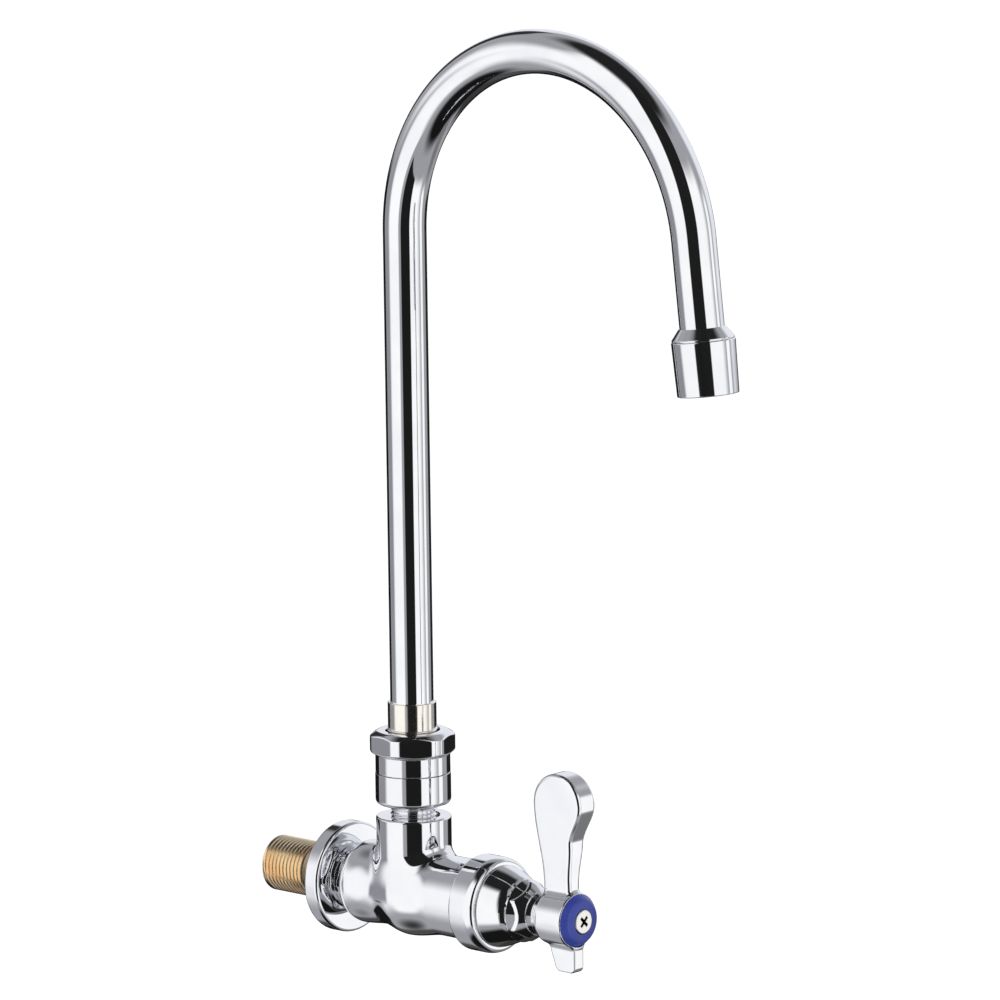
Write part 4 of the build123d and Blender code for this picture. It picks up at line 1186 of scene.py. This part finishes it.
# ============================== studio
floor_mesh = bpy.data.meshes.new("floor")
shape = bmesh.new()
bmesh.ops.create_grid(shape, x_segments=2, y_segments=2, size=FLOOR_SIZE / 2)
shape.to_mesh(floor_mesh)
shape.free()
floor = bpy.data.objects.new("floor", floor_mesh)
floor.location = (0, 0, FLOOR_HEIGHT)
bpy.context.scene.collection.objects.link(floor)
floor_material = bpy.data.materials.new("floor")
floor_material.use_nodes = True
kit = Nodes(floor_material.node_tree)
paint = kit.add("ShaderNodeBsdfDiffuse")
paint.inputs["Color"].default_value = FLOOR_COLOUR
glow = kit.add("ShaderNodeEmission")
ray = kit.add("ShaderNodeLightPath")
for_camera = kit.math("MULTIPLY", ray.outputs["Is Camera Ray"], BACKDROP_GLOW)
kit.link(kit.math("ADD", for_camera, FLOOR_GLOW), glow.inputs["Strength"])
both = kit.add("ShaderNodeAddShader")
kit.link(paint.outputs[0], both.inputs[0])
kit.link(glow.outputs[0], both.inputs[1])
kit.link(both.outputs[0], kit.add("ShaderNodeOutputMaterial").inputs["Surface"])
floor_mesh.materials.append(floor_material)
floor.visible_glossy = False

# The world: plain white to the camera and, dimmer, to matt surfaces. Shiny surfaces see
# a studio with soft boxes and black flags, each given by its azimuth and elevation in
# degrees; azimuth 0 is towards the camera and grows to the camera's right.
world = bpy.data.worlds.new("studio")
bpy.context.scene.world = world
world.use_nodes = True
kit = Nodes(world.node_tree)
ray = kit.add("ShaderNodeLightPath")
direction = kit.add("ShaderNodeTexCoord").outputs["Generated"]


def along(vector):
    """Share of the ray's direction that runs along a vector."""
    node = kit.add("ShaderNodeVectorMath", operation="DOT_PRODUCT")
    kit.link(direction, node.inputs[0])
    node.inputs[1].default_value = vector
    return node.outputs["Value"]


towards_camera = Vector((CAMERA_BACK.x, CAMERA_BACK.y, 0)).normalized()
to_the_right = Vector((-towards_camera.y, towards_camera.x, 0))
azimuth = kit.math("ARCTAN2", along(to_the_right), along(towards_camera))
azimuth = kit.math("MULTIPLY", azimuth, 180 / pi)
elevation = kit.math("MULTIPLY", kit.math("ARCSINE", along((0, 0, 1))), 180 / pi)


def band(value, low, high, soft_low, soft_high):
    """1 between low and high, falling to 0 over the soft widths outside."""
    rise = kit.ramp(value, low - soft_low, low)
    fall = kit.ramp(value, high, high + soft_high, low=1.0, high=0.0)
    return kit.math("MULTIPLY", rise, fall)


ALL_ROUND = (-180, 180)
# name, azimuths, elevations, soft edges (left, right, below, above), colour
STUDIO = [
    ("left panel", (-104, -60), (-18, 14), (26, 1, 30, 26), srgb(252, 252, 254)),
    ("left side", (-124, -98), (-15, -5), (1, 14, 16, 16), srgb(143, 144, 149)),
    ("left box", (-72, -36), (-34, 46), (14, 5, 14, 20), grey(255)),
    ("right box", (24, 64), (-32, 26), (4, 24, 8, 14), grey(255)),
    ("right line", (52, 54), (-15, -6), (1, 1, 2, 2), grey(34)),
    ("side strip", (88, 100), (-24, 12), (3, 5, 8, 10), grey(255)),
    ("ceiling", ALL_ROUND, (66, 90), (1, 1, 16, 1), grey(34)),
    ("ground", ALL_ROUND, (-90, -64), (1, 1, 1, 14), grey(22)),
    ("camera flag", (-32, 20), (-6, 74), (3, 4, 1, 10), grey(30)),
    ("camera flag, low", (-20, 24), (-36, -4), (3, 3, 2, 1), grey(28)),
    ("back box, left", (-180, -152), (5, 30), (1, 14, 4, 14), srgb(232, 234, 240)),
    ("back box, right", (122, 180), (-3, 30), (20, 1, 4, 14), srgb(232, 234, 240)),
    ("upper back flag, left", (-166, -150), (-4, 41), (5, 9, 1, 5), grey(48)),
    ("back flag, left", (-180, -130), (-40, -3), (1, 5, 6, 5), grey(24)),
    ("back flag, right", (158, 180), (-40, -4), (4, 1, 6, 4), grey(24)),
    ("low back flag, left", (-180, -162), (-64, -36), (1, 18, 1, 2), grey(74)),
    ("low back flag, right", (150, 180), (-64, -36), (12, 1, 1, 2), grey(56)),
    ("right flag", (130, 157), (-14, -8), (5, 1, 5, 2), grey(32)),
    ("low right flag", (108, 131), (-60, -34), (10, 1, 6, 12), grey(120)),
]
colour = srgb(158, 158, 162)
for _, azimuths, elevations, soft, tone in STUDIO:
    across = band(azimuth, *azimuths, soft[0], soft[1])
    if azimuths == ALL_ROUND:
        across = 1.0
    up = band(elevation, *elevations, soft[2], soft[3])
    colour = kit.mix(kit.math("MULTIPLY", across, up), colour, tone)
shiny = kit.add("ShaderNodeBackground")
kit.link(colour, shiny.inputs["Color"])
matt = kit.add("ShaderNodeBackground")
matt.inputs["Color"].default_value = WHITE
matt.inputs["Strength"].default_value = WORLD_STRENGTH
seen = kit.add("ShaderNodeBackground")
seen.inputs["Color"].default_value = WHITE
by_gloss = kit.add("ShaderNodeMixShader")
kit.link(ray.outputs["Is Glossy Ray"], by_gloss.inputs[0])
kit.link(matt.outputs[0], by_gloss.inputs[1])
kit.link(shiny.outputs[0], by_gloss.inputs[2])
by_camera = kit.add("ShaderNodeMixShader")
kit.link(ray.outputs["Is Camera Ray"], by_camera.inputs[0])
kit.link(by_gloss.outputs[0], by_camera.inputs[1])
kit.link(seen.outputs[0], by_camera.inputs[2])
kit.link(by_camera.outputs[0], kit.add("ShaderNodeOutputWorld").inputs["Surface"])

key = bpy.data.lights.new("key", "AREA")
key.shape = "SQUARE"
key.size = KEY_SIZE
key.energy = KEY_POWER
key_light = bpy.data.objects.new("key", key)
key_light.location = KEY_PLACE
key_light.rotation_mode = "QUATERNION"
key_light.rotation_quaternion = (KEY_AIM - KEY_PLACE).to_track_quat("-Z", "Y")
key_light.visible_glossy = False
bpy.context.scene.collection.objects.link(key_light)

# ============================== camera
lens = bpy.data.cameras.new("camera")
lens.lens = CAMERA_LENS
lens.sensor_width = SENSOR_WIDTH
lens.clip_end = CAMERA_REACH
camera = bpy.data.objects.new("camera", lens)
back = CAMERA_BACK.normalized()
right = CAMERA_UP.cross(back).normalized()
up = back.cross(right)
turn = Matrix((right, up, back)).transposed()
camera.matrix_world = Matrix.Translation(CAMERA_PLACE) @ turn.to_4x4()
bpy.context.scene.collection.objects.link(camera)
bpy.context.scene.camera = camera

bpy.context.scene.view_settings.view_transform = "Standard"
